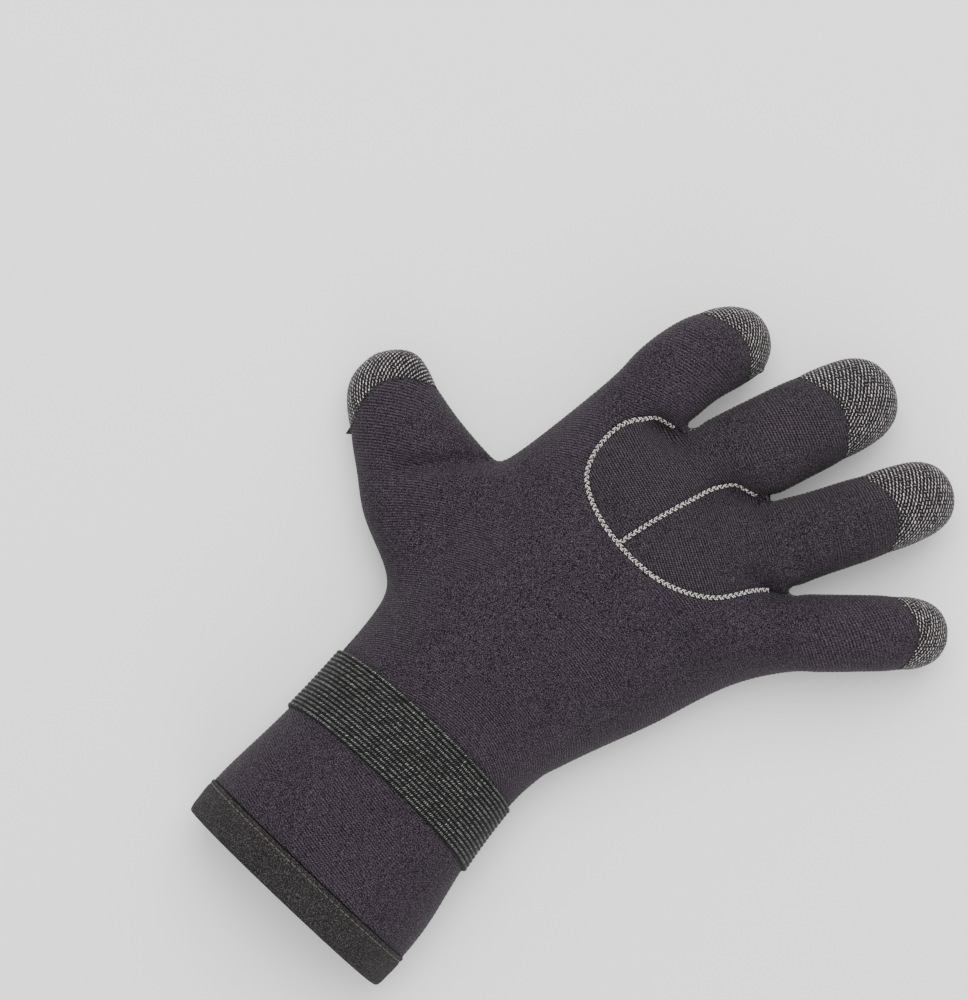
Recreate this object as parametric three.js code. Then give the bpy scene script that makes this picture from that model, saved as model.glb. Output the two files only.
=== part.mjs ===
// Right-hand diving glove in 3 mm neoprene, lying palm down, in millimetres.
// +Y runs to the fingertips, +X to the little finger and +Z up through the back of the hand.
// Rings of a coarse cage follow the gauntlet, the hand and each finger. One round of smoothing
// turns the cage into a sheet, the seams divide the sheet into panels, and each panel gets its wall.

import * as THREE from 'three';

// Cloth and seams
const NEOPRENE = 3;
const HEM_PROUD = 0.8;
const SEAM_GAP = 0.3;
const LAYER_GAP = 0.3;
const ELASTIC = 1.4;
const HOOK = 0.9;
const TAB = 1.2;

// Gauntlet, from the wrist to the mouth
const CUFF_LENGTH = 101.5;
const CUFF_WIDTH = 99;
const CUFF_HEIGHT = 52;
const CUFF_DRIFT = 17;
const CUFF_TILT = 6.5;
const HEM_WIDTH = 15;
const STRAP_WIDTH = 29;
const STRAP_FROM_WRIST = 32.5;
const STRAP_LEAN = 10;
const TAB_LENGTH = 67;
const TAB_WIDTH = 27;
const TAB_SHIFT = 2;
const TAB_FROM_SIDE = 7;
const HOOK_SHOWS = 4;

// Hand, from the wrist to the crotch of the middle and ring fingers
const WRIST_WIDTH = 89;
const WRIST_HEIGHT = 46;
const HAND_LENGTH = 139;
const HAND_WIDTH = 122;
const HAND_HEIGHT = 51;
const KNUCKLE_LIFT = 31;
const TIP_HEIGHT = 11.5;
const FINGER_ARCH = 4.5;
const FINGER_THICKNESS = 27;
const HEEL_SAG = 13.5;
const HEEL_FROM_WRIST = 7.5;
const OUTER_WRAP = 8;

// Fingers: reach seen from above, spread from +Y to the little finger, sideways bow, width,
// and how far the cap on the back reaches down from the tip, with the slant of its seam
const FINGERS = {
  index: { reach: 52.5, spread: 13, bow: -6, width: 33, cap: 10.5, slant: -0.2 },
  middle: { reach: 73.4, spread: 14.3, bow: -0.8, width: 36.5, cap: 24, slant: 0.03 },
  ring: { reach: 73.3, spread: 21.8, bow: 0.4, width: 31.5, cap: 24.5, slant: 0.06 },
  pinky: { reach: 61, spread: 40.6, bow: -0.4, width: 29, cap: 12, slant: 0.03 },
};

// Thumb
const THUMB_REACH = 71;
const THUMB_SPREAD = -74.2;
const THUMB_WIDTH = 33;
const THUMB_THICKNESS = 29;
const THUMB_CAP = 13.5;

// A smoothed ring comes out smaller than its cage, so the cage starts larger
const HAND_SWELL = 1.036;
const FINGER_SWELL = 1.075;
const CAP_SAG = 8.5;

// Cage rows of the gauntlet. Shares: along the gauntlet, of its drift to the little finger, from the
// wrist's width and height to the mouth's, of the tilt, of the strap's lean and of the lift for the tab.
const CUFF_ROWS = [
  { along: 1, drift: 1, width: 0.86, height: 0.9, tilt: 1, lean: 0.1, lift: 0.2 },
  { along: 0.848, drift: 0.853, width: 1.07, height: 1, tilt: 1.02, lean: 0.25, lift: 0.2 },
  { along: 0.66, drift: 0.72, width: 0.79, height: 0.7, tilt: 0.82, lean: 0.6, lift: 0.55 },
  { along: 0.463, drift: 0.456, width: 0.1, height: 0.2, tilt: 0.98, lean: 1, lift: 1.1 },
  { along: 0.177, drift: 0.147, width: -0.24, height: -0.2, tilt: 1.02, lean: 1, lift: 1.1 },
];

// Cage rows of the hand. Shares: along the hand, of its half width to the side, from the wrist's width
// and height to the hand's, tilt in degrees, of the strap's lean, of the palm's arch, and how far the
// columns have moved from even spacing to the finger crotches.
const HAND_ROWS = [
  { along: 0, side: 0, width: 0, height: 0, tilt: 2.6, lean: 0.6, lift: 0.3, spread: 0 },
  { along: 0.094, side: -0.012, width: 0.233, height: 0.5, tilt: 3.5, lean: 0.2, lift: 0, spread: 0 },
  { along: 0.23, side: -0.004, width: 0.503, height: 0.9, tilt: 2.2, lean: 0, lift: 0, spread: 0 },
  { along: 0.367, side: 0.025, width: 0.727, height: 1, tilt: 1, lean: 0, lift: 0, spread: 0.1 },
  { along: 0.511, side: 0.045, width: 0.864, height: 0.9, tilt: 1, lean: 0, lift: 0, spread: 0.4 },
  { along: 0.676, side: 0.098, width: 1, height: 0.35, tilt: -3.8, lean: 0, lift: 1.2, spread: 0.8 },
];

// Half section of a row: across as a share of the half width, up as a share of the height
const SIDE_UP = 0.36;
const TOP_SHARES = [
  { across: -0.88, up: 0.66 },
  { across: -0.66, up: 0.85 },
  { across: -0.44, up: 0.945 },
  { across: -0.22, up: 0.985 },
  { across: 0, up: 1 },
  { across: 0.22, up: 0.985 },
  { across: 0.44, up: 0.945 },
  { across: 0.66, up: 0.85 },
  { across: 0.88, up: 0.66 },
];
const BOTTOM_SHARES = [0.12, 0.01, 0, 0, 0, 0, 0, 0.01, 0.12];
const CROTCH_COLUMNS = [-0.88, -0.72, -0.51, -0.22, 0.056, 0.31, 0.564, 0.73, 0.88];

// Line of the finger roots, seen from above. Shares of the half hand width and of the hand length
const ROOTS = [
  { across: -0.918, along: 0.921 },
  { across: -0.344, along: 0.942 },
  { across: 0.311, along: 1 },
  { across: 0.82, along: 0.863 },
  { across: 1.279, along: 0.763 },
];

const CROTCH_CORNER = 0.62;
const OUTER_CORNER = { inset: 0.14, up: 0.7 };

// Rings of a finger. Shares: of the stretch before the tip, of its width and of its thickness
const FINGER_RINGS = [
  { along: 0.16, width: 1.02, thick: 1 },
  { along: 0.42, width: 1.01, thick: 0.97 },
  { along: 0.7, width: 1, thick: 0.93 },
  { along: 1, width: 0.97, thick: 0.88 },
];
const TIP_STRETCH = 0.5;
const TIP_RING = { back: 0.19, width: 0.82, thick: 0.66 };

// Rings of the thumb. Shares: of its reach, of its width, of its thickness, and sideways of its width
const THUMB_RINGS = [
  { along: 0.18, width: 1.64, thick: 1.1, side: -0.05 },
  { along: 0.37, width: 1.37, thick: 1.05, side: -0.04 },
  { along: 0.57, width: 1.16, thick: 1, side: -0.04 },
  { along: 0.75, width: 1.04, thick: 0.92, side: 0 },
  { along: 0.9, width: 0.88, thick: 0.68, side: 0.06 },
];

// Curved seam round the two knuckle panels, from the index crotch to the little finger's crotch,
// and the seam between the two panels. Shares of the half hand width and of the hand length.
const KNUCKLE_SEAM = [
  { across: -0.46, along: 0.932 },
  { across: -0.56, along: 0.908 },
  { across: -0.64, along: 0.86 },
  { across: -0.656, along: 0.79 },
  { across: -0.615, along: 0.71 },
  { across: -0.5, along: 0.645 },
  { across: -0.3, along: 0.612 },
  { across: -0.1, along: 0.6 },
  { across: 0.08, along: 0.606 },
  { across: 0.3, along: 0.636 },
  { across: 0.5, along: 0.694 },
  { across: 0.62, along: 0.76 },
  { across: 0.68, along: 0.83 },
  { across: 0.76, along: 0.856 },
];
const MIDDLE_SEAM = [
  { across: -0.1, along: 0.55 },
  { across: -0.094, along: 0.66 },
  { across: -0.05, along: 0.76 },
  { across: 0.02, along: 0.88 },
  { across: 0.05, along: 0.935 },
  { across: 0.17, along: 0.976 },
];

const DEGREE = Math.PI / 180;
const FINGER_NAMES = Object.keys(FINGERS);
const CUFF = 'cuff';
const HAND = 'hand';
const THUMB = 'thumb';

function mix(a, b, share) {
  return a + (b - a) * share;
}

// A heading in degrees from +Y towards +X, as a flat direction
function heading(degrees) {
  return new THREE.Vector2(Math.sin(degrees * DEGREE), Math.cos(degrees * DEGREE));
}

function planPoint(place) {
  return new THREE.Vector2((place.across * HAND_WIDTH) / 2, place.along * HAND_LENGTH);
}

// The cage holds points with the height above the side seam and the length from the wrist
const cage = { points: [], faces: [] };

function addPoint(x, y, z, seamUp, along) {
  cage.points.push([x, y, z, seamUp, along]);
  return cage.points.length - 1;
}

function addFace(corners, zone) {
  cage.faces.push({ corners, zone });
}

function joinRings(first, second, zone, skip = []) {
  first.forEach((corner, i) => {
    const next = (i + 1) % first.length;
    if (!skip.includes(i)) {
      addFace([corner, first[next], second[next], second[i]], zone);
    }
  });
}

// One closed row, as the left side, the back from left to right, the right side and the palm back again
function addRow(row) {
  const tilt = row.tilt * DEGREE;
  const halfWidth = (row.width / 2) * HAND_SWELL;
  const sideZ = row.base + row.height * SIDE_UP;
  const place = (across, up) => {
    const reach = across * halfWidth;
    const z = row.base + row.height * up;
    const x = row.x + reach * Math.cos(tilt);
    const y = row.y + reach * Math.sin(tilt) + row.lean * (up - 0.5);
    return addPoint(x, y, z, z - sideZ, row.y);
  };
  const columns = TOP_SHARES.map((share, i) => mix(share.across, CROTCH_COLUMNS[i], row.spread));
  const left = place(-1, SIDE_UP);
  const top = TOP_SHARES.map((share, i) => place(columns[i], share.up));
  const right = place(1, SIDE_UP);
  const bottom = BOTTOM_SHARES.map((up, i) => place(columns[i], up));
  return { left, top, right, bottom, ring: [left, ...top, right, ...[...bottom].reverse()] };
}

function cuffRow(share) {
  const tabStack = LAYER_GAP + ELASTIC + LAYER_GAP + HOOK + LAYER_GAP + TAB;
  return {
    x: CUFF_DRIFT * share.drift,
    y: -CUFF_LENGTH * share.along,
    width: mix(WRIST_WIDTH, CUFF_WIDTH, share.width),
    height: mix(WRIST_HEIGHT, CUFF_HEIGHT, share.height),
    tilt: CUFF_TILT * share.tilt,
    lean: STRAP_LEAN * share.lean,
    base: tabStack * share.lift,
    spread: 0,
  };
}

function handRow(share) {
  return {
    x: (share.side * HAND_WIDTH) / 2,
    y: HAND_LENGTH * share.along,
    width: mix(WRIST_WIDTH, HAND_WIDTH, share.width),
    height: mix(WRIST_HEIGHT, HAND_HEIGHT, share.height),
    tilt: share.tilt,
    lean: STRAP_LEAN * share.lean,
    base: FINGER_ARCH * share.lift,
    spread: share.spread,
  };
}

// Thumb patch on the left side: the rows of the hand that it leaves open
const PATCH_FIRST = 1;
const PATCH_LAST = 4;

function addPalm() {
  const rows = [...CUFF_ROWS.map(cuffRow), ...HAND_ROWS.map(handRow)].map(addRow);
  const patchStart = CUFF_ROWS.length + PATCH_FIRST;
  const patchEnd = CUFF_ROWS.length + PATCH_LAST;
  rows.slice(1).forEach((row, i) => {
    const inPatch = i >= patchStart && i < patchEnd;
    const zone = i < CUFF_ROWS.length ? CUFF : HAND;
    joinRings(rows[i].ring, row.ring, zone, inPatch ? [0, row.ring.length - 1] : []);
  });
  return { rows, patch: rows.slice(patchStart, patchEnd + 1) };
}

// The line of roots: four finger rings that share the points of three crotches
function addRoots(lastRow) {
  const halfThick = (FINGER_THICKNESS / 2) * FINGER_SWELL;
  const plan = ROOTS.map(planPoint);
  const at = (point, up) => addPoint(point.x, point.y, KNUCKLE_LIFT + up, up, point.y);
  const corner = (i) => {
    if (i > 0 && i < plan.length - 1) {
      return { point: plan[i], up: CROTCH_CORNER * halfThick };
    }
    const inner = plan[i === 0 ? 1 : i - 1];
    const point = plan[i].clone().lerp(inner, OUTER_CORNER.inset);
    return { point, up: OUTER_CORNER.up * halfThick };
  };
  const corners = plan.map((_, i) => corner(i));
  const sides = plan.map((point) => at(point, 0));
  const crotchTops = corners.map(({ point, up }) => at(point, up));
  const crotchBottoms = corners.map(({ point, up }) => at(point, -up));
  const rings = FINGER_NAMES.map((name, i) => {
    const centre = plan[i].clone().add(plan[i + 1]).multiplyScalar(0.5);
    const top = at(centre, halfThick);
    const bottom = at(centre, -halfThick);
    const ring = [
      sides[i], crotchTops[i], top, crotchTops[i + 1],
      sides[i + 1], crotchBottoms[i + 1], bottom, crotchBottoms[i],
    ];
    return { name, centre, ring };
  });
  const tops = rings.flatMap(({ ring }) => [ring[1], ring[2]]);
  const bottoms = rings.flatMap(({ ring }) => [ring[7], ring[6]]);
  const last = plan.length - 1;
  const closed = [
    sides[0], ...tops, crotchTops[last], sides[last], crotchBottoms[last], ...bottoms.reverse(),
  ];
  joinRings(lastRow.ring, closed, HAND);
  return rings;
}

// A ring of a finger or thumb: sides is the list of [across, up] shares of its half sizes
function addDigitRing(centre, direction, sides, width, thick, wrap) {
  const across = new THREE.Vector3(direction.y, -direction.x, 0).normalize();
  const up = new THREE.Vector3().crossVectors(across, direction).normalize();
  return sides.map(([share, rise]) => {
    const point = centre.clone();
    point.addScaledVector(across, (share * width * FINGER_SWELL) / 2);
    point.addScaledVector(up, (rise * thick * FINGER_SWELL) / 2);
    const seamUp = (rise * thick) / 2 + wrap * Math.max(0, -share);
    return addPoint(point.x, point.y, point.z, seamUp, point.y);
  });
}

function closeTip(ring, centre, along, zone) {
  const pole = addPoint(centre.x, centre.y, centre.z, 0, along);
  ring.forEach((corner, i) => addFace([corner, ring[(i + 1) % ring.length], pole], zone));
}

const FINGER_CORNER = 0.72;
const FINGER_SIDES = [
  [-1, 0], [-FINGER_CORNER, FINGER_CORNER], [0, 1], [FINGER_CORNER, FINGER_CORNER],
  [1, 0], [FINGER_CORNER, -FINGER_CORNER], [0, -1], [-FINGER_CORNER, -FINGER_CORNER],
];
const LINE_STEP = 0.01;
const POLE = 1.02;

// Centre line of a finger: straight or bowed from above, arched and then down to the surface
function fingerLine(root, finger) {
  const ahead = heading(finger.spread);
  const aside = new THREE.Vector2(ahead.y, -ahead.x);
  return (share) => {
    const hump = 4 * share * (1 - share);
    const plan = root.clone().addScaledVector(ahead, finger.reach * share);
    plan.addScaledVector(aside, finger.bow * hump);
    const z = mix(KNUCKLE_LIFT, TIP_HEIGHT, share * share) + FINGER_ARCH * hump;
    return new THREE.Vector3(plan.x, plan.y, z);
  };
}

function addFinger({ name, centre, ring }) {
  const finger = FINGERS[name];
  const line = fingerLine(centre, finger);
  const tipStart = 1 - (TIP_STRETCH * finger.width) / finger.reach;
  const shares = FINGER_RINGS.map((row) => ({ ...row, along: row.along * tipStart }));
  shares.push({ ...TIP_RING, along: 1 - (TIP_RING.back * finger.width) / finger.reach });
  let last = ring;
  shares.forEach((row) => {
    const direction = line(row.along + LINE_STEP).sub(line(row.along - LINE_STEP)).normalize();
    const width = finger.width * row.width;
    const thick = FINGER_THICKNESS * row.thick;
    const next = addDigitRing(line(row.along), direction, FINGER_SIDES, width, thick, 0);
    joinRings(last, next, name);
    last = next;
  });
  closeTip(last, line(POLE), line(1).y, name);
}

const THUMB_TOP = 0.3;
const THUMB_CORNER = { across: 0.8, up: 0.7 };
const THUMB_BACK = [
  [-THUMB_CORNER.across, THUMB_CORNER.up], [-THUMB_TOP, 1],
  [THUMB_TOP, 1], [THUMB_CORNER.across, THUMB_CORNER.up],
];
const THUMB_FRONT = THUMB_BACK.map(([across, up]) => [across, -up]).reverse();
const THUMB_SIDES = [[-1, 0], ...THUMB_BACK, [1, 0], ...THUMB_FRONT];
const THUMB_LIFT = 1;
const THUMB_TIP_HEIGHT = 14;
const THUMB_TIP_SIDE = 0.06;

// Share of the thumb's reach at which its outer neoprene stops lapping over, and where it begins to
const WRAP_ENDS = 0.85;
const WRAP_FADES = 0.4;

// The thumb grows out of the open patch: its near side is the glove's outer edge by the wrist
function thumbRoot(patch) {
  const first = patch[0];
  const last = patch[patch.length - 1];
  const corners = [first.left, last.left].map((i) => cage.points[i]);
  return new THREE.Vector3(
    (corners[0][0] + corners[1][0]) / 2,
    (corners[0][1] + corners[1][1]) / 2,
    (corners[0][2] + corners[1][2]) / 2,
  );
}

function addThumb(patch) {
  const tops = patch.map((row) => row.top[0]);
  const bottoms = patch.map((row) => row.bottom[0]).reverse();
  const first = patch[0];
  const farSide = patch[patch.length - 1].left;
  const root = thumbRoot(patch);
  const ahead = heading(THUMB_SPREAD);
  const aside = new THREE.Vector2(ahead.y, -ahead.x);
  const lineAt = (share, side) => new THREE.Vector3(
    root.x + ahead.x * THUMB_REACH * share + aside.x * side,
    root.y + ahead.y * THUMB_REACH * share + aside.y * side,
    mix(root.z + THUMB_LIFT, THUMB_TIP_HEIGHT, share),
  );
  const direction = lineAt(1, 0).sub(lineAt(0, 0)).normalize();
  let last = [first.left, ...tops, farSide, ...bottoms];
  THUMB_RINGS.forEach((row) => {
    const centre = lineAt(row.along, row.side * THUMB_WIDTH);
    const fade = (WRAP_ENDS - row.along) / (WRAP_ENDS - WRAP_FADES);
    const wrap = OUTER_WRAP * THREE.MathUtils.clamp(fade, 0, 1);
    const width = THUMB_WIDTH * row.width;
    const thick = THUMB_THICKNESS * row.thick;
    const next = addDigitRing(centre, direction, THUMB_SIDES, width, thick, wrap);
    joinRings(last, next, THUMB);
    last = next;
  });
  closeTip(last, lineAt(1, THUMB_WIDTH * THUMB_TIP_SIDE), lineAt(1, 0).y, THUMB);
  return root;
}

// The neoprene laps on to the palm side along the outer edge, from the wrist to the thumb
function wrapOuterEdge(patch, wristRow) {
  [patch[0], wristRow].forEach((row, i) => {
    [row.left, row.top[0], row.bottom[0]].forEach((corner) => {
      cage.points[corner][3] += OUTER_WRAP / (i + 1);
    });
  });
}

// Catmull-Clark smoothing of the cage, with its two extra values carried along
function averageOf(rows) {
  return rows[0].map((_, k) => rows.reduce((sum, row) => sum + row[k], 0) / rows.length);
}

function edgeKey(a, b) {
  return a < b ? `${a}_${b}` : `${b}_${a}`;
}

function edgesOf(corners) {
  return corners.map((corner, i) => [corner, corners[(i + 1) % corners.length]]);
}

function collectEdges(mesh) {
  const edges = new Map();
  mesh.faces.forEach((face, f) => {
    edgesOf(face.corners).forEach(([a, b]) => {
      const key = edgeKey(a, b);
      if (!edges.has(key)) {
        edges.set(key, { a, b, faces: [] });
      }
      edges.get(key).faces.push(f);
    });
  });
  return edges;
}

function smoothed(mesh) {
  const edges = collectEdges(mesh);
  const facePoints = mesh.faces.map((face) => averageOf(face.corners.map((i) => mesh.points[i])));
  const around = mesh.points.map(() => ({ faces: new Set(), edges: [] }));
  edges.forEach((edge) => {
    [edge.a, edge.b].forEach((corner) => around[corner].edges.push(edge));
    edge.faces.forEach((f) => [edge.a, edge.b].forEach((corner) => around[corner].faces.add(f)));
  });
  const points = mesh.points.map((point, i) => {
    const rim = around[i].edges.filter((edge) => edge.faces.length === 1);
    if (rim.length === 2) {
      const ends = rim.map((edge) => mesh.points[edge.a === i ? edge.b : edge.a]);
      return point.map((value, k) => 0.75 * value + (ends[0][k] + ends[1][k]) / 8);
    }
    const count = around[i].edges.length;
    if (count === 0) {
      return point;
    }
    const faceMean = averageOf([...around[i].faces].map((f) => facePoints[f]));
    const middles = around[i].edges.map((edge) => averageOf([mesh.points[edge.a], mesh.points[edge.b]]));
    const edgeMean = averageOf(middles);
    return point.map((value, k) => (faceMean[k] + 2 * edgeMean[k] + (count - 3) * value) / count);
  });
  const edgePoint = new Map();
  edges.forEach((edge, key) => {
    const ends = [mesh.points[edge.a], mesh.points[edge.b]];
    const middle = edge.faces.length === 1 ? ends : [...ends, ...edge.faces.map((f) => facePoints[f])];
    points.push(averageOf(middle));
    edgePoint.set(key, points.length - 1);
  });
  const faces = [];
  mesh.faces.forEach((face, f) => {
    points.push(facePoints[f]);
    const centre = points.length - 1;
    const count = face.corners.length;
    face.corners.forEach((corner, i) => {
      const next = edgePoint.get(edgeKey(corner, face.corners[(i + 1) % count]));
      const before = edgePoint.get(edgeKey(corner, face.corners[(i + count - 1) % count]));
      faces.push({ corners: [corner, next, centre, before], zone: face.zone });
    });
  });
  return { points, faces };
}

function toTriangles(mesh) {
  const distance = (a, b) => Math.hypot(...[0, 1, 2].map((k) => mesh.points[a][k] - mesh.points[b][k]));
  const faces = mesh.faces.flatMap(({ corners: [a, b, c, d], zone }) => {
    const split = distance(a, c) <= distance(b, d) ? [[a, b, c], [a, c, d]] : [[a, b, d], [b, c, d]];
    return split.map((corners) => ({ corners, zone, panel: '' }));
  });
  return { points: mesh.points.map((point) => [...point]), faces };
}

// Divides the sheet along the line where a measure is zero, among the faces that apply. A point that
// lies almost on the line slides on to it along an edge, so that no slivers are left. A point of an
// earlier seam slides along that seam alone.
const SLIDE = 0.9;

function slideOnto(sheet, values, applies) {
  const best = new Map();
  collectEdges(sheet).forEach((edge) => {
    const [first, second] = edge.faces.map((f) => sheet.faces[f]);
    if (!second || !(applies(first) || applies(second))) {
      return;
    }
    const alongSeam = first.panel !== second.panel;
    [[edge.a, edge.b], [edge.b, edge.a]].forEach(([near, far]) => {
      const free = !sheet.fixed.has(near) || (alongSeam && sheet.fixed.has(far));
      const crosses = values[near] * values[far] < 0 && Math.abs(values[near]) < SLIDE;
      const reach = Math.abs(values[far]);
      if (free && crosses && reach > (best.get(near)?.reach ?? 0)) {
        best.set(near, { far, reach });
      }
    });
  });
  best.forEach(({ far }, near) => {
    if (values[near] * values[far] < 0) {
      const share = values[near] / (values[near] - values[far]);
      sheet.points[near] = sheet.points[near].map((value, k) => mix(value, sheet.points[far][k], share));
      values[near] = 0;
    }
  });
}

function divide(sheet, measure, applies, above, below) {
  const values = sheet.points.map(measure);
  slideOnto(sheet, values, applies);
  const firstCut = sheet.points.length;
  const cuts = new Map();
  collectEdges(sheet).forEach((edge, key) => {
    const used = edge.faces.some((f) => applies(sheet.faces[f]));
    if (used && values[edge.a] * values[edge.b] < 0) {
      const share = values[edge.a] / (values[edge.a] - values[edge.b]);
      const [a, b] = [sheet.points[edge.a], sheet.points[edge.b]];
      sheet.points.push(a.map((value, k) => mix(value, b[k], share)));
      values.push(0);
      cuts.set(key, sheet.points.length - 1);
    }
  });
  sheet.faces = sheet.faces.flatMap((face) => {
    const outline = edgesOf(face.corners).flatMap(([a, b]) => {
      const cut = cuts.get(edgeKey(a, b));
      return cut === undefined ? [a] : [a, cut];
    });
    return splitOutline(outline, firstCut).map((corners) => {
      const side = corners.reduce((sum, corner) => sum + values[corner], 0);
      const panel = applies(face) ? (side > 0 ? above : below) : face.panel;
      return { corners, zone: face.zone, panel };
    });
  });
  collectEdges(sheet).forEach((edge) => {
    const [first, second] = edge.faces.map((f) => sheet.faces[f].panel);
    if (second !== undefined && first !== second) {
      sheet.fixed.add(edge.a).add(edge.b);
    }
  });
}

// A triangle with one or two cut edges becomes triangles that don't cross the dividing line
function splitOutline(outline, firstCut) {
  const count = outline.length;
  if (count === 3) {
    return [outline];
  }
  const isCut = (i) => outline[(i + count) % count] >= firstCut;
  const start = outline.findIndex((_, i) => (count === 4 ? isCut(i) : isCut(i - 1) && isCut(i + 1)));
  const turned = outline.map((_, i) => outline[(i + start) % count]);
  const fan = count === 4 ? [[0, 1, 2], [0, 2, 3]] : [[0, 1, 4], [1, 2, 4], [2, 3, 4]];
  return fan.map((corners) => corners.map((i) => turned[i]));
}

// Signed distance to a closed outline seen from above, above zero inside it
function insideOf(outline) {
  return ([x, y]) => {
    let nearest = Infinity;
    let inside = false;
    outline.forEach((a, i) => {
      const b = outline[(i + 1) % outline.length];
      const side = b.clone().sub(a);
      const from = new THREE.Vector2(x - a.x, y - a.y);
      const share = THREE.MathUtils.clamp(from.dot(side) / side.lengthSq(), 0, 1);
      nearest = Math.min(nearest, from.addScaledVector(side, -share).length());
      if (a.y > y !== b.y > y && x < mix(a.x, b.x, (y - a.y) / (b.y - a.y))) {
        inside = !inside;
      }
    });
    return inside ? nearest : -nearest;
  };
}

// A seam runs on from a crotch through the open space between two fingers
function pastTips(crotch, names) {
  const spread = names.reduce((sum, name) => sum + FINGERS[name].spread, 0) / names.length;
  return planPoint(crotch).addScaledVector(heading(spread), HAND_LENGTH);
}

const SEAM_STEPS = 3;

function seamCurve(places) {
  return new THREE.SplineCurve(places.map(planPoint)).getPoints(SEAM_STEPS * places.length);
}

function knuckleOutline() {
  const start = pastTips(ROOTS[1], ['index', 'middle']);
  const end = pastTips(ROOTS[3], ['ring', 'pinky']);
  return [start, planPoint(ROOTS[1]), ...seamCurve(KNUCKLE_SEAM), planPoint(ROOTS[3]), end];
}

function middleOutline() {
  const far = new THREE.Vector2(-HAND_WIDTH, HAND_LENGTH / 2);
  const end = pastTips(ROOTS[2], ['middle', 'ring']);
  return [...seamCurve(MIDDLE_SEAM), planPoint(ROOTS[2]), end, far];
}

// Height of a point above the seam of a tip cap, which bows towards the tip
function capMeasure(root, spread, reach, cap, width, slant) {
  const ahead = heading(spread);
  const aside = new THREE.Vector2(ahead.y, -ahead.x);
  return ([x, y]) => {
    const from = new THREE.Vector2(x - root.x, y - root.y);
    const across = from.dot(aside);
    const bow = CAP_SAG * ((2 * across) / width) ** 2;
    return from.dot(ahead) - (reach - cap) + bow - slant * across;
  };
}

function heelMeasure([x, y]) {
  const share = THREE.MathUtils.clamp((2 * x) / WRIST_WIDTH, -1, 1);
  return y + HEEL_FROM_WRIST - HEEL_SAG * share * share;
}

function measureAlong(place) {
  return (point) => point[4] - place;
}

// Unit normal of the whole sheet at each point, so that panels that meet have parallel rims
function normalsOf(sheet) {
  const vectors = sheet.points.map(([x, y, z]) => new THREE.Vector3(x, y, z));
  const normals = sheet.points.map(() => new THREE.Vector3());
  sheet.faces.forEach(({ corners }) => {
    const [a, b, c] = corners.map((i) => vectors[i]);
    const flat = b.clone().sub(a).cross(c.clone().sub(a)).normalize();
    corners.forEach((corner, i) => {
      const to = (step) => vectors[corners[(i + step) % 3]].clone().sub(vectors[corner]);
      normals[corner].addScaledVector(flat, to(1).angleTo(to(2)));
    });
  });
  normals.forEach((normal) => normal.normalize());
  return { vectors, normals };
}

// Rim of a panel: each edge that has one face in it, in the order that keeps the panel on its left
function rimOf(faces) {
  const rim = new Map();
  faces.forEach(({ corners }) => edgesOf(corners).forEach(([a, b]) => rim.set(`${a}_${b}`, [a, b])));
  [...rim.values()].forEach(([a, b]) => {
    if (rim.has(`${b}_${a}`)) {
      rim.delete(`${a}_${b}`);
      rim.delete(`${b}_${a}`);
    }
  });
  return [...rim.values()];
}

// Draws each seam edge of a panel back into the panel, by half of the gap between two panels.
// A very sharp corner is drawn back less far.
const SHARPEST_CORNER = 0.5;

function drawnBack(shape, rim, isMouth) {
  const pull = new Map();
  rim.filter(([a, b]) => !isMouth(a, b)).forEach(([a, b]) => {
    const along = shape.vectors[b].clone().sub(shape.vectors[a]);
    [a, b].forEach((corner) => {
      const inward = shape.normals[corner].clone().cross(along).normalize();
      pull.set(corner, [...(pull.get(corner) ?? []), inward]);
    });
  });
  const places = new Map();
  pull.forEach((sides, corner) => {
    const sum = sides.reduce((total, side) => total.add(side), new THREE.Vector3());
    const spread = Math.max(sum.lengthSq() / sides.length, SHARPEST_CORNER);
    places.set(corner, shape.vectors[corner].clone().addScaledVector(sum, SEAM_GAP / 2 / spread));
  });
  return places;
}

// A panel of the sheet with its wall, from an inner to an outer height over the sheet
function walled(sheet, shape, panel, inner, outer) {
  const faces = sheet.faces.filter((face) => face.panel === panel);
  const rim = rimOf(faces);
  const mouth = new Set(rimOf(sheet.faces).map(([a, b]) => edgeKey(a, b)));
  const places = drawnBack(shape, rim, (a, b) => mouth.has(edgeKey(a, b)));
  const used = [...new Set(faces.flatMap((face) => face.corners))];
  const order = new Map(used.map((corner, i) => [corner, i]));
  const layer = (height) => used.flatMap((corner) => {
    const place = (places.get(corner) ?? shape.vectors[corner]).clone();
    return place.addScaledVector(shape.normals[corner], height).toArray();
  });
  const count = used.length;
  const index = [];
  faces.forEach(({ corners }) => {
    const [a, b, c] = corners.map((corner) => order.get(corner));
    index.push(a, b, c, c + count, b + count, a + count);
  });
  rim.forEach(([from, to]) => {
    const [a, b] = [order.get(from), order.get(to)];
    index.push(b, a, a + count, b, a + count, b + count);
  });
  const geometry = new THREE.BufferGeometry();
  const positions = [...layer(outer), ...layer(inner)];
  geometry.setAttribute('position', new THREE.Float32BufferAttribute(positions, 3));
  geometry.setIndex(index);
  geometry.computeVertexNormals();
  return geometry;
}

// Colours from the photo
function cloth(color, roughness) {
  return new THREE.MeshStandardMaterial({ color, roughness, metalness: 0 });
}

const NEOPRENE_CLOTH = cloth(0x46414a, 0.85);
const KNUCKLE_CLOTH = cloth(0x3f3b42, 0.85);
const KNIT_CLOTH = cloth(0x312f33, 0.9);
const HEM_CLOTH = cloth(0x242226, 0.95);
const ELASTIC_CLOTH = cloth(0x2b302c, 0.8);
const HOOK_CLOTH = cloth(0x151617, 0.95);
const TAB_CLOTH = cloth(0x3c413e, 0.85);

const glove = new THREE.Group();
glove.name = 'diving_glove';

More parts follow.
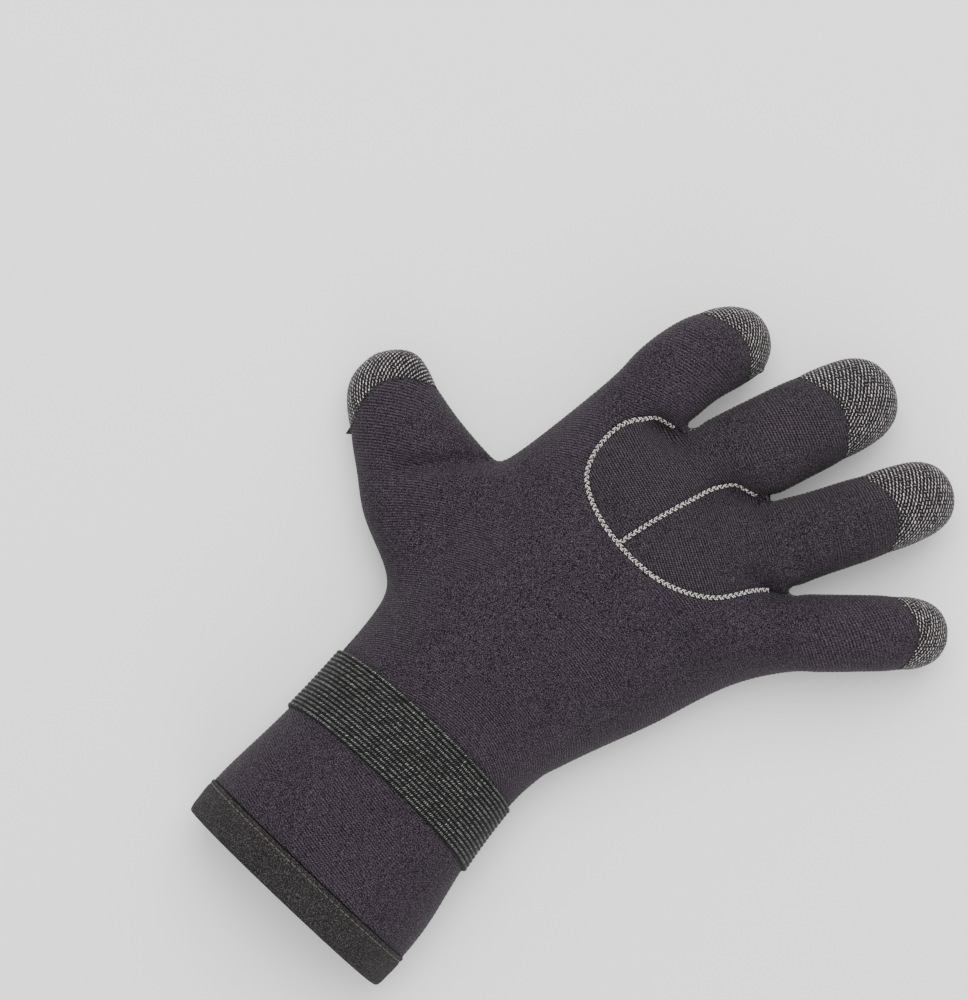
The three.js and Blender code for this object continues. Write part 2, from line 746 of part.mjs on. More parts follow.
function addPiece(name, geometry, material) {
  const mesh = new THREE.Mesh(geometry, material);
  mesh.name = name;
  glove.add(mesh);
}

// Cage of the whole glove
const { rows, patch } = addPalm();
const roots = addRoots(rows[rows.length - 1]);
roots.forEach(addFinger);
const thumbStart = addThumb(patch);
wrapOuterEdge(patch, rows[CUFF_ROWS.length]);

// The sheet and its seams
const plainSheet = toTriangles(smoothed(cage));
const sheet = { points: [...plainSheet.points], faces: plainSheet.faces, fixed: new Set() };
const inPanel = (panel, zones) => (face) => face.panel === panel && (!zones || zones.includes(face.zone));

divide(sheet, measureAlong(HEM_WIDTH - CUFF_LENGTH), inPanel(''), 'body', 'hem_band');
divide(sheet, (point) => point[3], inPanel('body'), 'back_panel', 'palm_panel');
divide(sheet, heelMeasure, inPanel('palm_panel', [CUFF, HAND]), 'palm_panel', 'gauntlet_underside');
roots.forEach(({ name, centre }) => {
  const { spread, reach, cap, width, slant } = FINGERS[name];
  const measure = capMeasure(centre, spread, reach, cap, width, slant);
  divide(sheet, measure, inPanel('back_panel', [name]), `${name}_tip_cap`, 'back_panel');
});
const thumbCap = capMeasure(thumbStart, THUMB_SPREAD, THUMB_REACH, THUMB_CAP, THUMB_WIDTH, 0);
divide(sheet, thumbCap, inPanel('back_panel', [THUMB]), 'thumb_tip_cap', 'back_panel');
const knuckleZones = [HAND, ...FINGER_NAMES];
divide(sheet, insideOf(knuckleOutline()), inPanel('back_panel', knuckleZones), 'knuckles', 'back_panel');
divide(sheet, insideOf(middleOutline()), inPanel('knuckles'), 'middle_finger_back', 'ring_finger_back');

const shape = normalsOf(sheet);
const panelCloth = {
  back_panel: NEOPRENE_CLOTH,
  middle_finger_back: KNUCKLE_CLOTH,
  ring_finger_back: KNUCKLE_CLOTH,
  gauntlet_underside: NEOPRENE_CLOTH,
  palm_panel: KNIT_CLOTH,
  index_tip_cap: KNIT_CLOTH,
  middle_tip_cap: KNIT_CLOTH,
  ring_tip_cap: KNIT_CLOTH,
  pinky_tip_cap: KNIT_CLOTH,
  thumb_tip_cap: KNIT_CLOTH,
};
Object.entries(panelCloth).forEach(([name, material]) => {
  addPiece(name, walled(sheet, shape, name, -NEOPRENE, 0), material);
});
addPiece('hem_band', walled(sheet, shape, 'hem_band', -NEOPRENE - HEM_PROUD, HEM_PROUD), HEM_CLOTH);

// Elastic strap, hook patch and closure tab, one over the other
const strapTilt = heading(90 - CUFF_TILT);
const strapCentre = new THREE.Vector2((CUFF_DRIFT * STRAP_FROM_WRIST) / CUFF_LENGTH, -STRAP_FROM_WRIST);

function acrossStrap([x, y]) {
  return new THREE.Vector2(x, y).sub(strapCentre).dot(strapTilt) + WRIST_WIDTH / 2;
}

function bandOf(middle, width, start, end) {
  const band = { points: [...plainSheet.points], faces: plainSheet.faces, fixed: new Set() };
  divide(band, measureAlong(-middle - width / 2), inPanel(''), 'band', 'rest');
  divide(band, measureAlong(-middle + width / 2), inPanel('band'), 'rest', 'band');
  if (end) {
    divide(band, (point) => point[3], inPanel('band'), 'rest', 'band');
    divide(band, (point) => acrossStrap(point) - start, inPanel('band'), 'band', 'rest');
    divide(band, (point) => acrossStrap(point) - end, inPanel('band'), 'rest', 'band');
  }
  return band;
}

function addBand(name, band, inner, thickness, material) {
  addPiece(name, walled(band, normalsOf(band), 'band', inner, inner + thickness), material);
}

const hookHeight = LAYER_GAP + ELASTIC + LAYER_GAP;
const tabHeight = hookHeight + HOOK + LAYER_GAP;
const tabMiddle = STRAP_FROM_WRIST + TAB_SHIFT;
const tabEnd = TAB_FROM_SIDE + TAB_LENGTH;
const hookBand = bandOf(tabMiddle, TAB_WIDTH, TAB_FROM_SIDE, tabEnd + HOOK_SHOWS);
addBand('wrist_strap', bandOf(STRAP_FROM_WRIST, STRAP_WIDTH), LAYER_GAP, ELASTIC, ELASTIC_CLOTH);
addBand('hook_pad', hookBand, hookHeight, HOOK, HOOK_CLOTH);
addBand('closure_tab', bandOf(tabMiddle, TAB_WIDTH, TAB_FROM_SIDE, tabEnd), tabHeight, TAB, TAB_CLOTH);

// The origin is the middle of the box's underside
const box = new THREE.Box3().setFromObject(glove);
const centre = box.getCenter(new THREE.Vector3());
glove.position.set(-centre.x, -centre.y, -box.min.z);

export default glove;
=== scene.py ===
# Right-hand diving glove in 3 mm neoprene, lying palm down, dressed over its CAD solids.
import math

import bmesh
import bpy
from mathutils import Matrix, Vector
from mathutils.bvhtree import BVHTree
from mathutils.geometry import interpolate_bezier
from mathutils.kdtree import KDTree


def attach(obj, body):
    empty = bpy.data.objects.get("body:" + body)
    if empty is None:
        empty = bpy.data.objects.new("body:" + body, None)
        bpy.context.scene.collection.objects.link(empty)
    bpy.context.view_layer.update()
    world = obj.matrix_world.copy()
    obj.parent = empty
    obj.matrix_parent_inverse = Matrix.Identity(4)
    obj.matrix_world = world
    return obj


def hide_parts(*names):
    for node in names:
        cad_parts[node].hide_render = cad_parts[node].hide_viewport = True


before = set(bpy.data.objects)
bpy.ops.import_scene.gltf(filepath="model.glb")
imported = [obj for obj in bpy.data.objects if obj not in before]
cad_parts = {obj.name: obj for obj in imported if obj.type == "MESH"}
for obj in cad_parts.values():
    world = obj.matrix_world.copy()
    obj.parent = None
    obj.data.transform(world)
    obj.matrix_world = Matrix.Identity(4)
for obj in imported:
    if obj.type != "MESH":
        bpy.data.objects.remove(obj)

bpy.context.view_layer.update()

# Body of the glove. The sheet of cloth is drawn out ring by ring from the mouth of the gauntlet over
# the hand to the tips, as a coarse cage that is smoothed afterwards. Lengths are in millimetres here.
MM = 0.001
CUFF_LENGTH = 101.5
CUFF_WIDTH = 99
CUFF_HEIGHT = 52
CUFF_DRIFT = 17
CUFF_TILT = 6.5
STRAP_LEAN = 10
WRIST_WIDTH = 89
WRIST_HEIGHT = 46
HAND_LENGTH = 139
HAND_WIDTH = 122
HAND_HEIGHT = 51
KNUCKLE_LIFT = 31
TIP_HEIGHT = 11.5
FINGER_ARCH = 4.5
FINGER_THICKNESS = 27
TAB_STACK = 4.4
OUTER_WRAP = 8
HAND_SWELL = 1.042
FINGER_SWELL = 1.1
FINGERS = {
    "index": {"reach": 52.5, "spread": 13, "bow": -6, "width": 33, "cap": 10.5, "slant": -0.2},
    "middle": {"reach": 73.4, "spread": 14.3, "bow": -0.8, "width": 36.5, "cap": 24, "slant": 0.03},
    "ring": {"reach": 73.3, "spread": 21.8, "bow": 0.4, "width": 31.5, "cap": 24.5, "slant": 0.06},
    "pinky": {"reach": 61, "spread": 40.6, "bow": -0.4, "width": 29, "cap": 12, "slant": 0.03},
}
THUMB = {"reach": 71, "spread": -74.2, "width": 33, "thickness": 29, "cap": 13.5}

# Shares along the gauntlet, of its drift, of the growth from wrist to mouth, of tilt, lean and lift
CUFF_ROWS = [
    {"along": 1, "drift": 1, "width": 0.86, "height": 0.9, "tilt": 1, "lean": 0.1, "lift": 0.2},
    {"along": 0.848, "drift": 0.853, "width": 1.07, "height": 1, "tilt": 1.02, "lean": 0.25, "lift": 0.2},
    {"along": 0.66, "drift": 0.72, "width": 0.79, "height": 0.7, "tilt": 0.82, "lean": 0.6, "lift": 0.55},
    {"along": 0.463, "drift": 0.456, "width": 0.1, "height": 0.2, "tilt": 0.98, "lean": 1, "lift": 1.1},
    {"along": 0.177, "drift": 0.147, "width": -0.24, "height": -0.2, "tilt": 1.02, "lean": 1, "lift": 1.1},
]
# Shares along the hand, to the side, from the wrist's size to the hand's, tilt in degrees, lean, lift
# of the palm, and how far the columns have moved to the finger crotches
HAND_ROWS = [
    {"along": 0, "side": 0, "width": 0, "height": 0, "tilt": 2.6, "lean": 0.6, "lift": 0.3, "spread": 0},
    {"along": 0.094, "side": -0.012, "width": 0.233, "height": 0.5, "tilt": 3.5, "lean": 0.2, "lift": 0, "spread": 0},
    {"along": 0.23, "side": -0.004, "width": 0.503, "height": 0.9, "tilt": 2.2, "lean": 0, "lift": 0, "spread": 0},
    {"along": 0.367, "side": 0.025, "width": 0.727, "height": 1, "tilt": 1, "lean": 0, "lift": 0, "spread": 0.1},
    {"along": 0.511, "side": 0.045, "width": 0.864, "height": 0.9, "tilt": 1, "lean": 0, "lift": 0, "spread": 0.4},
    {"along": 0.676, "side": 0.098, "width": 1, "height": 0.35, "tilt": -3.8, "lean": 0, "lift": 1.2, "spread": 0.8},
]
SIDE_UP = 0.36
TOP_COLUMNS = [-0.88, -0.66, -0.44, -0.22, 0, 0.22, 0.44, 0.66, 0.88]
TOP_UPS = [0.66, 0.85, 0.945, 0.985, 1, 0.985, 0.945, 0.85, 0.66]
BOTTOM_UPS = [0.12, 0.01, 0, 0, 0, 0, 0, 0.01, 0.12]
CROTCH_COLUMNS = [-0.88, -0.72, -0.51, -0.22, 0.056, 0.31, 0.564, 0.73, 0.88]
ROOTS = [(-0.918, 0.921), (-0.344, 0.942), (0.311, 1), (0.82, 0.863), (1.279, 0.763)]
CROTCH_CORNER = 0.62
OUTER_CORNER = {"inset": 0.14, "up": 0.7}
FINGER_RINGS = [
    {"along": 0.16, "width": 1.02, "thick": 1},
    {"along": 0.42, "width": 1.01, "thick": 0.97},
    {"along": 0.7, "width": 1, "thick": 0.93},
    {"along": 1, "width": 0.97, "thick": 0.88},
]
TIP_STRETCH = 0.5
TIP_RING = {"back": 0.19, "width": 0.82, "thick": 0.66}
FINGER_SIDES = [(-1, 0), (-0.72, 0.72), (0, 1), (0.72, 0.72), (1, 0), (0.72, -0.72), (0, -1), (-0.72, -0.72)]
THUMB_RINGS = [
    {"along": 0.18, "width": 1.64, "thick": 1.1, "side": -0.05},
    {"along": 0.37, "width": 1.37, "thick": 1.05, "side": -0.04},
    {"along": 0.57, "width": 1.16, "thick": 1, "side": -0.04},
    {"along": 0.75, "width": 1.04, "thick": 0.92, "side": 0},
    {"along": 0.9, "width": 0.88, "thick": 0.68, "side": 0.06},
]
THUMB_BACK = [(-0.8, 0.7), (-0.3, 1), (0.3, 1), (0.8, 0.7)]
THUMB_SIDES = [(-1, 0), *THUMB_BACK, (1, 0), *[(across, -up) for across, up in reversed(THUMB_BACK)]]
THUMB_TIP_HEIGHT = 14
THUMB_TIP_SIDE = 0.06
WRAP_ENDS = 0.85
WRAP_FADES = 0.4
PATCH_ROWS = (1, 4)
ZONES = ["cuff", "hand", *FINGERS, "thumb"]

cage = bmesh.new()
seam_up = cage.verts.layers.float.new("seam_up")
along = cage.verts.layers.float.new("along")


def mix(a, b, share):
    return a + (b - a) * share


def heading(degrees):
    """Direction on the floor, turned from +Y towards +X."""
    turn = math.radians(degrees)
    return Vector((math.sin(turn), math.cos(turn), 0))


def aside(direction):
    return Vector((direction.y, -direction.x, 0)).normalized()


def spot(across, length):
    """A place seen from above, in shares of the half hand width and of the hand length."""
    return Vector((across * HAND_WIDTH / 2, length * HAND_LENGTH, 0))


def put(vert, place):
    co, up, length = place
    vert.co = co
    vert[seam_up] = up
    vert[along] = length


def edge_between(a, b):
    found = next((e for e in a.link_edges if e.other_vert(a) == b), None)
    return found or cage.edges.new((a, b))


def draw_out(ring, places, zone):
    """Extrudes a closed ring of the cage and moves the new ring to its places."""
    edges = [edge_between(v, ring[(i + 1) % len(ring)]) for i, v in enumerate(ring)]
    made = set(bmesh.ops.extrude_edge_only(cage, edges=edges)["geom"])
    fresh = [next(e.other_vert(v) for e in v.link_edges if e.other_vert(v) in made) for v in ring]
    for vert, place in zip(fresh, places):
        put(vert, place)
    for face in {f for v in fresh for f in v.link_faces}:
        face.material_index = ZONES.index(zone)
    return fresh


def row_places(x, y, width, height, tilt, lean, base, spread):
    turn = math.radians(tilt)
    side_z = base + height * SIDE_UP

    def place(across, up):
        reach = across * width / 2 * HAND_SWELL
        z = base + height * up
        co = Vector((x + reach * math.cos(turn), y + reach * math.sin(turn) + lean * (up - 0.5), z))
        return co, z - side_z, y

    columns = [mix(plain, moved, spread) for plain, moved in zip(TOP_COLUMNS, CROTCH_COLUMNS)]
    top = [place(across, up) for across, up in zip(columns, TOP_UPS)]
    bottom = [place(across, up) for across, up in zip(columns, BOTTOM_UPS)]
    return [place(-1, SIDE_UP), *top, place(1, SIDE_UP), *reversed(bottom)]


def cuff_places(row):
    return row_places(
        CUFF_DRIFT * row["drift"],
        -CUFF_LENGTH * row["along"],
        mix(WRIST_WIDTH, CUFF_WIDTH, row["width"]),
        mix(WRIST_HEIGHT, CUFF_HEIGHT, row["height"]),
        CUFF_TILT * row["tilt"],
        STRAP_LEAN * row["lean"],
        TAB_STACK * row["lift"],
        0,
    )


def hand_places(row):
    return row_places(
        row["side"] * HAND_WIDTH / 2,
        HAND_LENGTH * row["along"],
        mix(WRIST_WIDTH, HAND_WIDTH, row["width"]),
        mix(WRIST_HEIGHT, HAND_HEIGHT, row["height"]),
        row["tilt"],
        STRAP_LEAN * row["lean"],
        FINGER_ARCH * row["lift"],
        row["spread"],
    )


first_places = cuff_places(CUFF_ROWS[0])
ring = [cage.verts.new() for _ in first_places]
for vert, place in zip(ring, first_places):
    put(vert, place)
palm_rings = [ring]
for row in CUFF_ROWS[1:]:
    palm_rings.append(draw_out(palm_rings[-1], cuff_places(row), "cuff"))
for row in HAND_ROWS:
    zone = "hand" if palm_rings[len(CUFF_ROWS):] else "cuff"
    palm_rings.append(draw_out(palm_rings[-1], hand_places(row), zone))
wrist_ring = palm_rings[len(CUFF_ROWS)]
patch = palm_rings[len(CUFF_ROWS) + PATCH_ROWS[0]:len(CUFF_ROWS) + PATCH_ROWS[1] + 1]

# Crotches: the last ring closes on to the line of the finger roots, which the rings of the fingers share
half_thick = FINGER_THICKNESS / 2 * FINGER_SWELL
root_spots = [spot(*root) for root in ROOTS]
corner_ups = [CROTCH_CORNER * half_thick] * len(ROOTS)
corner_spots = list(root_spots)
for end, inner in ((0, 1), (-1, -2)):
    corner_spots[end] = root_spots[end].lerp(root_spots[inner], OUTER_CORNER["inset"])
    corner_ups[end] = OUTER_CORNER["up"] * half_thick


def root_place(point, up):
    return Vector((point.x, point.y, KNUCKLE_LIFT + up)), up, point.y


centres = [(a + b) / 2 for a, b in zip(root_spots, root_spots[1:])]
tops = [root_place(corner_spots[0], corner_ups[0])]
bottoms = [root_place(corner_spots[0], -corner_ups[0])]
for centre, corner, up in zip(centres, corner_spots[1:], corner_ups[1:]):
    tops += [root_place(centre, half_thick), root_place(corner, up)]
    bottoms += [root_place(centre, -half_thick), root_place(corner, -up)]
root_ring = draw_out(
    palm_rings[-1],
    [root_place(root_spots[0], 0), *tops, root_place(root_spots[-1], 0), *reversed(bottoms)],
    "hand",
)
top_line = root_ring[1:len(tops) + 1]
bottom_line = root_ring[len(tops) + 2:][::-1]
side_verts = [root_ring[0]]
for point in root_spots[1:-1]:
    side_verts.append(cage.verts.new())
    put(side_verts[-1], root_place(point, 0))
side_verts.append(root_ring[len(tops) + 1])


def digit_places(centre, direction, sides, width, thick, wrap):
    across = aside(direction)
    up = across.cross(direction).normalized()
    places = []
    for share, rise in sides:
        co = centre + across * share * width * FINGER_SWELL / 2 + up * rise * thick * FINGER_SWELL / 2
        places.append((co, rise * thick / 2 + wrap * max(0, -share), co.y))
    return places


def close_tip(ring, pole, length, zone):
    tip = bmesh.ops.contextual_create(cage, geom=[edge_between(v, ring[i - 1]) for i, v in enumerate(ring)])
    fan = bmesh.ops.poke(cage, faces=tip["faces"])
    put(fan["verts"][0], (pole, 0, length))
    for face in fan["faces"]:
        face.material_index = ZONES.index(zone)


def finger_line(root, finger):
    """Middle line of a finger: straight or bowed from above, arched and then down to the surface."""
    ahead = heading(finger["spread"])

    def line(share):
        hump = 4 * share * (1 - share)
        point = root + ahead * finger["reach"] * share + aside(ahead) * finger["bow"] * hump
        point.z = mix(KNUCKLE_LIFT, TIP_HEIGHT, share * share) + FINGER_ARCH * hump
        return point

    return line


for i, (name, finger) in enumerate(FINGERS.items()):
    line = finger_line(centres[i], finger)
    tip_start = 1 - TIP_STRETCH * finger["width"] / finger["reach"]
    rings = [{**row, "along": row["along"] * tip_start} for row in FINGER_RINGS]
    rings.append({**TIP_RING, "along": 1 - TIP_RING["back"] * finger["width"] / finger["reach"]})
    ring = [
        side_verts[i], *top_line[2 * i:2 * i + 3], side_verts[i + 1], *bottom_line[2 * i:2 * i + 3][::-1],
    ]
    for row in rings:
        direction = (line(row["along"] + 0.01) - line(row["along"] - 0.01)).normalized()
        width = finger["width"] * row["width"]
        thick = FINGER_THICKNESS * row["thick"]
        places = digit_places(line(row["along"]), direction, FINGER_SIDES, width, thick, 0)
        ring = draw_out(ring, places, name)
    close_tip(ring, line(1.02), line(1).y, name)

# The thumb grows out of an opening in the side of the hand
thumb_root = (patch[0][0].co + patch[-1][0].co) / 2
thumb_ahead = heading(THUMB["spread"])


def thumb_line(share, side):
    point = thumb_root + thumb_ahead * THUMB["reach"] * share + aside(thumb_ahead) * side
    point.z = mix(thumb_root.z + 1, THUMB_TIP_HEIGHT, share)
    return point


ring = [patch[0][0], *[row[1] for row in patch], patch[-1][0], *[row[-1] for row in reversed(patch)]]
inside = {v for row in patch for v in (row[0], row[1], row[-1])}
gone = [f for f in cage.faces if all(v in inside for v in f.verts)]
bmesh.ops.delete(cage, geom=gone, context="FACES")
direction = (thumb_line(1, 0) - thumb_line(0, 0)).normalized()
for row in THUMB_RINGS:
    wrap = OUTER_WRAP * min(1, max(0, (WRAP_ENDS - row["along"]) / (WRAP_ENDS - WRAP_FADES)))
    centre = thumb_line(row["along"], row["side"] * THUMB["width"])
    width = THUMB["width"] * row["width"]
    thick = THUMB["thickness"] * row["thick"]
    ring = draw_out(ring, digit_places(centre, direction, THUMB_SIDES, width, thick, wrap), "thumb")
close_tip(ring, thumb_line(1, THUMB["width"] * THUMB_TIP_SIDE), thumb_line(1, 0).y, "thumb")
for part, outer_ring in enumerate((patch[0], wrist_ring)):
    for vert in (outer_ring[0], outer_ring[1], outer_ring[-1]):
        vert[seam_up] += OUTER_WRAP / (part + 1)
bmesh.ops.recalc_face_normals(cage, faces=cage.faces)

# The cage is smoothed into the sheet of cloth. A twin whose points hold the height over the side seam
# and the length from the wrist is smoothed with it, so that both can be read at every point.
SMOOTHING = 3
ORIGIN = Vector((6.17, -49.57, 0))


def smoothed(maker, name):
    mesh = bpy.data.meshes.new(name)
    maker.to_mesh(mesh)
    carrier = bpy.data.objects.new(name, mesh)
    bpy.context.scene.collection.objects.link(carrier)
    rounding = carrier.modifiers.new("rounding", "SUBSURF")
    rounding.levels = rounding.render_levels = SMOOTHING
    finished = bpy.data.meshes.new_from_object(carrier.evaluated_get(bpy.context.evaluated_depsgraph_get()))
    bpy.data.objects.remove(carrier)
    return finished


sheet_mesh = smoothed(cage, "sheet")
for vert in cage.verts:
    vert.co = (vert[seam_up], vert[along], 0)
measure_mesh = smoothed(cage, "measures")
sheet = bmesh.new()
sheet.from_mesh(sheet_mesh)
sheet.verts.ensure_lookup_table()
seam_up = sheet.verts.layers.float.get("seam_up")
along = sheet.verts.layers.float.get("along")
panel = sheet.faces.layers.int.new("panel")
for vert, measured in zip(sheet.verts, measure_mesh.vertices):
    vert[seam_up] = measured.co.x
    vert[along] = measured.co.y

# Seams. The sheet is cut along lines where a measure is zero. A point close to such a line slides on
# to it, so that no slivers are left, and a point of an earlier seam slides along that seam alone.
HEM_WIDTH = 15
HEEL_FROM_WRIST = 7.5
HEEL_SAG = 13.5
CAP_SAG = 8.5
SLIDE = 0.85
KNUCKLE_SEAM = [
    (-0.41, 0.934), (-0.527, 0.91), (-0.615, 0.868), (-0.653, 0.8), (-0.635, 0.725), (-0.56, 0.665), (-0.415, 0.628),
    (-0.21, 0.608), (0.05, 0.609), (0.28, 0.631), (0.461, 0.673), (0.603, 0.729), (0.66, 0.795), (0.72, 0.834),
]
MIDDLE_SEAM = [
    (-0.09, 0.55), (-0.083, 0.62), (-0.045, 0.745), (0.008, 0.85), (0.045, 0.925), (0.1, 0.957), (0.2, 0.975),
]
PANELS = [
    "whole", "hem_band", "body", "back_panel", "palm_panel", "gauntlet_underside", "index_tip_cap",
    "middle_tip_cap", "ring_tip_cap", "pinky_tip_cap", "thumb_tip_cap", "knuckles", "middle_finger_back",
    "ring_finger_back",
]
seam_points = set()


def is_seam(edge):
    return len({face[panel] for face in edge.link_faces}) > 1


def cut_sheet(measure, cut_panel, above, below, zones=ZONES):
    """Cuts one panel of the sheet in two along the line where the measure is zero."""
    number = PANELS.index(cut_panel)
    numbers = {ZONES.index(zone) for zone in zones}

    def belongs(face):
        return face[panel] == number and face.material_index in numbers

    faces = [face for face in sheet.faces if belongs(face)]
    value = {vert: measure(vert) for vert in {vert for face in faces for vert in face.verts}}
    edges = {edge for face in faces for edge in face.edges}
    slides = {}
    for edge in edges:
        for near in edge.verts:
            far = edge.other_vert(near)
            free = near not in seam_points or (is_seam(edge) and far in seam_points)
            if free and value[near] * value[far] < 0 and abs(value[near]) < SLIDE:
                if near not in slides or abs(value[far]) > abs(value[slides[near]]):
                    slides[near] = far
    for near, far in slides.items():
        if value[near] * value[far] < 0:
            share = value[near] / (value[near] - value[far])
            near.co = near.co.lerp(far.co, share)
            near[seam_up] = mix(near[seam_up], far[seam_up], share)
            near[along] = mix(near[along], far[along], share)
            value[near] = 0
    for edge in edges:
        start, end = edge.verts
        if value[start] * value[end] < 0:
            share = value[start] / (value[start] - value[end])
            value[bmesh.utils.edge_split(edge, start, share)[1]] = 0
    bmesh.ops.connect_verts(sheet, verts=[vert for vert in value if value[vert] == 0])
    for face in sheet.faces:
        if belongs(face):
            face[panel] = PANELS.index(above if sum(value[vert] for vert in face.verts) > 0 else below)
    for edge in sheet.edges:
        if is_seam(edge):
            seam_points.update(edge.verts)


def seam_curve(places):
    """Points of a smooth line through places on the hand."""
    points = [spot(*place) for place in places]
    ends = [points[1] - points[0], points[-1] - points[-2]]
    turns = [ends[0], *[(c - a) / 2 for a, c in zip(points, points[2:])], ends[1]]
    line = []
    for (a, turn_a), (b, turn_b) in zip(zip(points, turns), list(zip(points, turns))[1:]):
        line += interpolate_bezier(a, a + turn_a / 3, b - turn_b / 3, b, 5)[:-1]
    return [*line, points[-1]]


def past_tips(root, names):
    """A seam runs on from a crotch through the open space between two fingers."""
    middle = sum(FINGERS[name]["spread"] for name in names) / len(names)
    return root + heading(middle) * HAND_LENGTH


def inside_of(outline):
    """Distance to a closed outline seen from above, above zero inside it."""
    sides = list(zip(outline, outline[1:] + outline[:1]))

    def measure(vert):
        x, y, _ = vert.co
        nearest = math.inf
        inside = False
        for a, b in sides:
            run_x, run_y = b.x - a.x, b.y - a.y
            share = ((x - a.x) * run_x + (y - a.y) * run_y) / (run_x * run_x + run_y * run_y)
            share = min(1, max(0, share))
            nearest = min(nearest, math.hypot(x - a.x - share * run_x, y - a.y - share * run_y))
            if (a.y > y) != (b.y > y) and x < a.x + (y - a.y) / run_y * run_x:
                inside = not inside
        return nearest if inside else -nearest

    return measure


def cap_line(root, size):
    """Height of a point over the seam of a tip cap, which bows towards the tip."""
    ahead = heading(size["spread"])

    def measure(vert):
        away = vert.co - root
        across = away.dot(aside(ahead))
        bow = CAP_SAG * (2 * across / size["width"]) ** 2
        return away.dot(ahead) - (size["reach"] - size["cap"]) + bow - size.get("slant", 0) * across

    return measure


def heel_line(vert):
    share = max(-1, min(1, 2 * vert.co.x / WRIST_WIDTH))
    return vert.co.y + HEEL_FROM_WRIST - HEEL_SAG * share * share


knuckle_outline = [
    past_tips(root_spots[1], ["index", "middle"]),
    root_spots[1],
    *seam_curve(KNUCKLE_SEAM),
    root_spots[3],
    past_tips(root_spots[3], ["ring", "pinky"]),
]
middle_outline = [
    *seam_curve(MIDDLE_SEAM),
    root_spots[2],
    past_tips(root_spots[2], ["middle", "ring"]),
    Vector((-HAND_WIDTH, HAND_LENGTH / 2, 0)),
]
cut_sheet(lambda vert: vert[along] + CUFF_LENGTH - HEM_WIDTH, "whole", "body", "hem_band")
cut_sheet(lambda vert: vert[seam_up], "body", "back_panel", "palm_panel")
cut_sheet(heel_line, "palm_panel", "palm_panel", "gauntlet_underside", ["cuff", "hand"])
for centre, (name, finger) in zip(centres, FINGERS.items()):
    cut_sheet(cap_line(centre, finger), "back_panel", f"{name}_tip_cap", "back_panel", [name])
cut_sheet(cap_line(thumb_root, THUMB), "back_panel", "thumb_tip_cap", "back_panel", ["thumb"])
for face in sheet.faces:
    if ZONES[face.material_index] in ("middle", "ring") and face[panel] == PANELS.index("back_panel"):
        face[panel] = PANELS.index("knuckles")
cut_sheet(inside_of(knuckle_outline), "back_panel", "knuckles", "back_panel")
cut_sheet(inside_of(middle_outline), "knuckles", "middle_finger_back", "ring_finger_back")

# Shape touches. The stitches draw the cloth in along the seams, and it keeps soft folds: a crease from
# the web into the thumb's root, a hollow across the finger roots and small pockets at the crotches.
DIP_REACH = 3.6
DIPS = [
    ({"back_panel", "middle_finger_back", "ring_finger_back"}, 1.3),
    ({"back_panel", "middle_finger_back", "ring_finger_back", "index_tip_cap", "middle_tip_cap", "ring_tip_cap",
      "pinky_tip_cap", "thumb_tip_cap"}, 0.35),
    ({"palm_panel", "gauntlet_underside"}, 0.35),
]
FOLDS = [
    {"from": (-62, 66), "to": (-80, 41), "width": 4, "depth": 5},
    {"from": (-25, 125), "to": (7, 126), "width": 8, "depth": 2.6},
    {"from": (7, 126), "to": (44, 117), "width": 8, "depth": 2.8},
    {"from": (-30, 124.5), "to": (-22, 127), "width": 4.2, "depth": 8},
    {"from": (9, 132), "to": (18, 135), "width": 4, "depth": 7.5},
    {"from": (37, 116), "to": (48, 117), "width": 3.6, "depth": 5},
    {"from": (-40, -2), "to": (-18, -12), "width": 3.5, "depth": 0.9},
    {"from": (30, -14), "to": (43, -6), "width": 3.5, "depth": 0.9},
    {"from": (-48, -22), "to": (48, -11), "width": 2, "depth": 1.6},
    {"from": (-30, 10), "to": (20, 40), "width": 20, "depth": 1.2},
    {"from": (-32, 150), "to": (-24, 160), "width": 4, "depth": 0.8},
    {"from": (20, 158), "to": (26, 172), "width": 5, "depth": 0.7},
    {"from": (58, 134), "to": (72, 138), "width": 4, "depth": 0.9},
]


def nearness(point, start, end, width):
    """One on the line from start to end as seen from above, fading to nought beside it."""
    run = end - start
    share = min(1, max(0, (point - start).dot(run) / run.length_squared))
    return math.exp(-((point - start - run * share).length / width) ** 2)


sheet.normal_update()
pulls = {vert: 0.0 for vert in sheet.verts}
sinks = {vert: 0.0 for vert in sheet.verts if vert.normal.z > 0}
for panels, depth in DIPS:
    numbers = {PANELS.index(name) for name in panels}
    line = [v for v in seam_points if len({f[panel] for f in v.link_faces} & numbers) > 1]
    tree = KDTree(len(line))
    for i, vert in enumerate(line):
        tree.insert(vert.co, i)
    tree.balance()
    for vert in pulls:
        away = tree.find(vert.co)[2]
        if away < 3 * DIP_REACH:
            pulls[vert] = max(pulls[vert], depth * math.exp(-((away / DIP_REACH) ** 2)))
for fold in FOLDS:
    start, end = Vector(fold["from"]), Vector(fold["to"])
    for vert in sinks:
        near = nearness(vert.co.xy, start, end, fold["width"])
        sinks[vert] += fold["depth"] * near * min(1, 2 * vert.normal.z)
for vert, pull in pulls.items():
    vert.co -= vert.normal * pull + Vector((0, 0, sinks.get(vert, 0)))
    vert.co = (vert.co + ORIGIN) * MM
sheet.normal_update()
body_tree = BVHTree.FromBMesh(sheet)

# Cut panels. Each one is 3 mm cloth that grows inwards from the sheet, with rounded edges that meet its
# neighbours in a groove. Its flat pattern is the UV map, in metres, turned to lie along the glove.
NEOPRENE = 3 * MM
EDGE_ROUND = 0.3 * MM
EDGE_DEPTH = 0.55 * MM
FLAT = "flat"
GRAIN_MIDDLE = 20
GRAIN_CENTRES = {"thumb side": -75, "little finger side": -60}
STRAIGHT_BELOW = -32


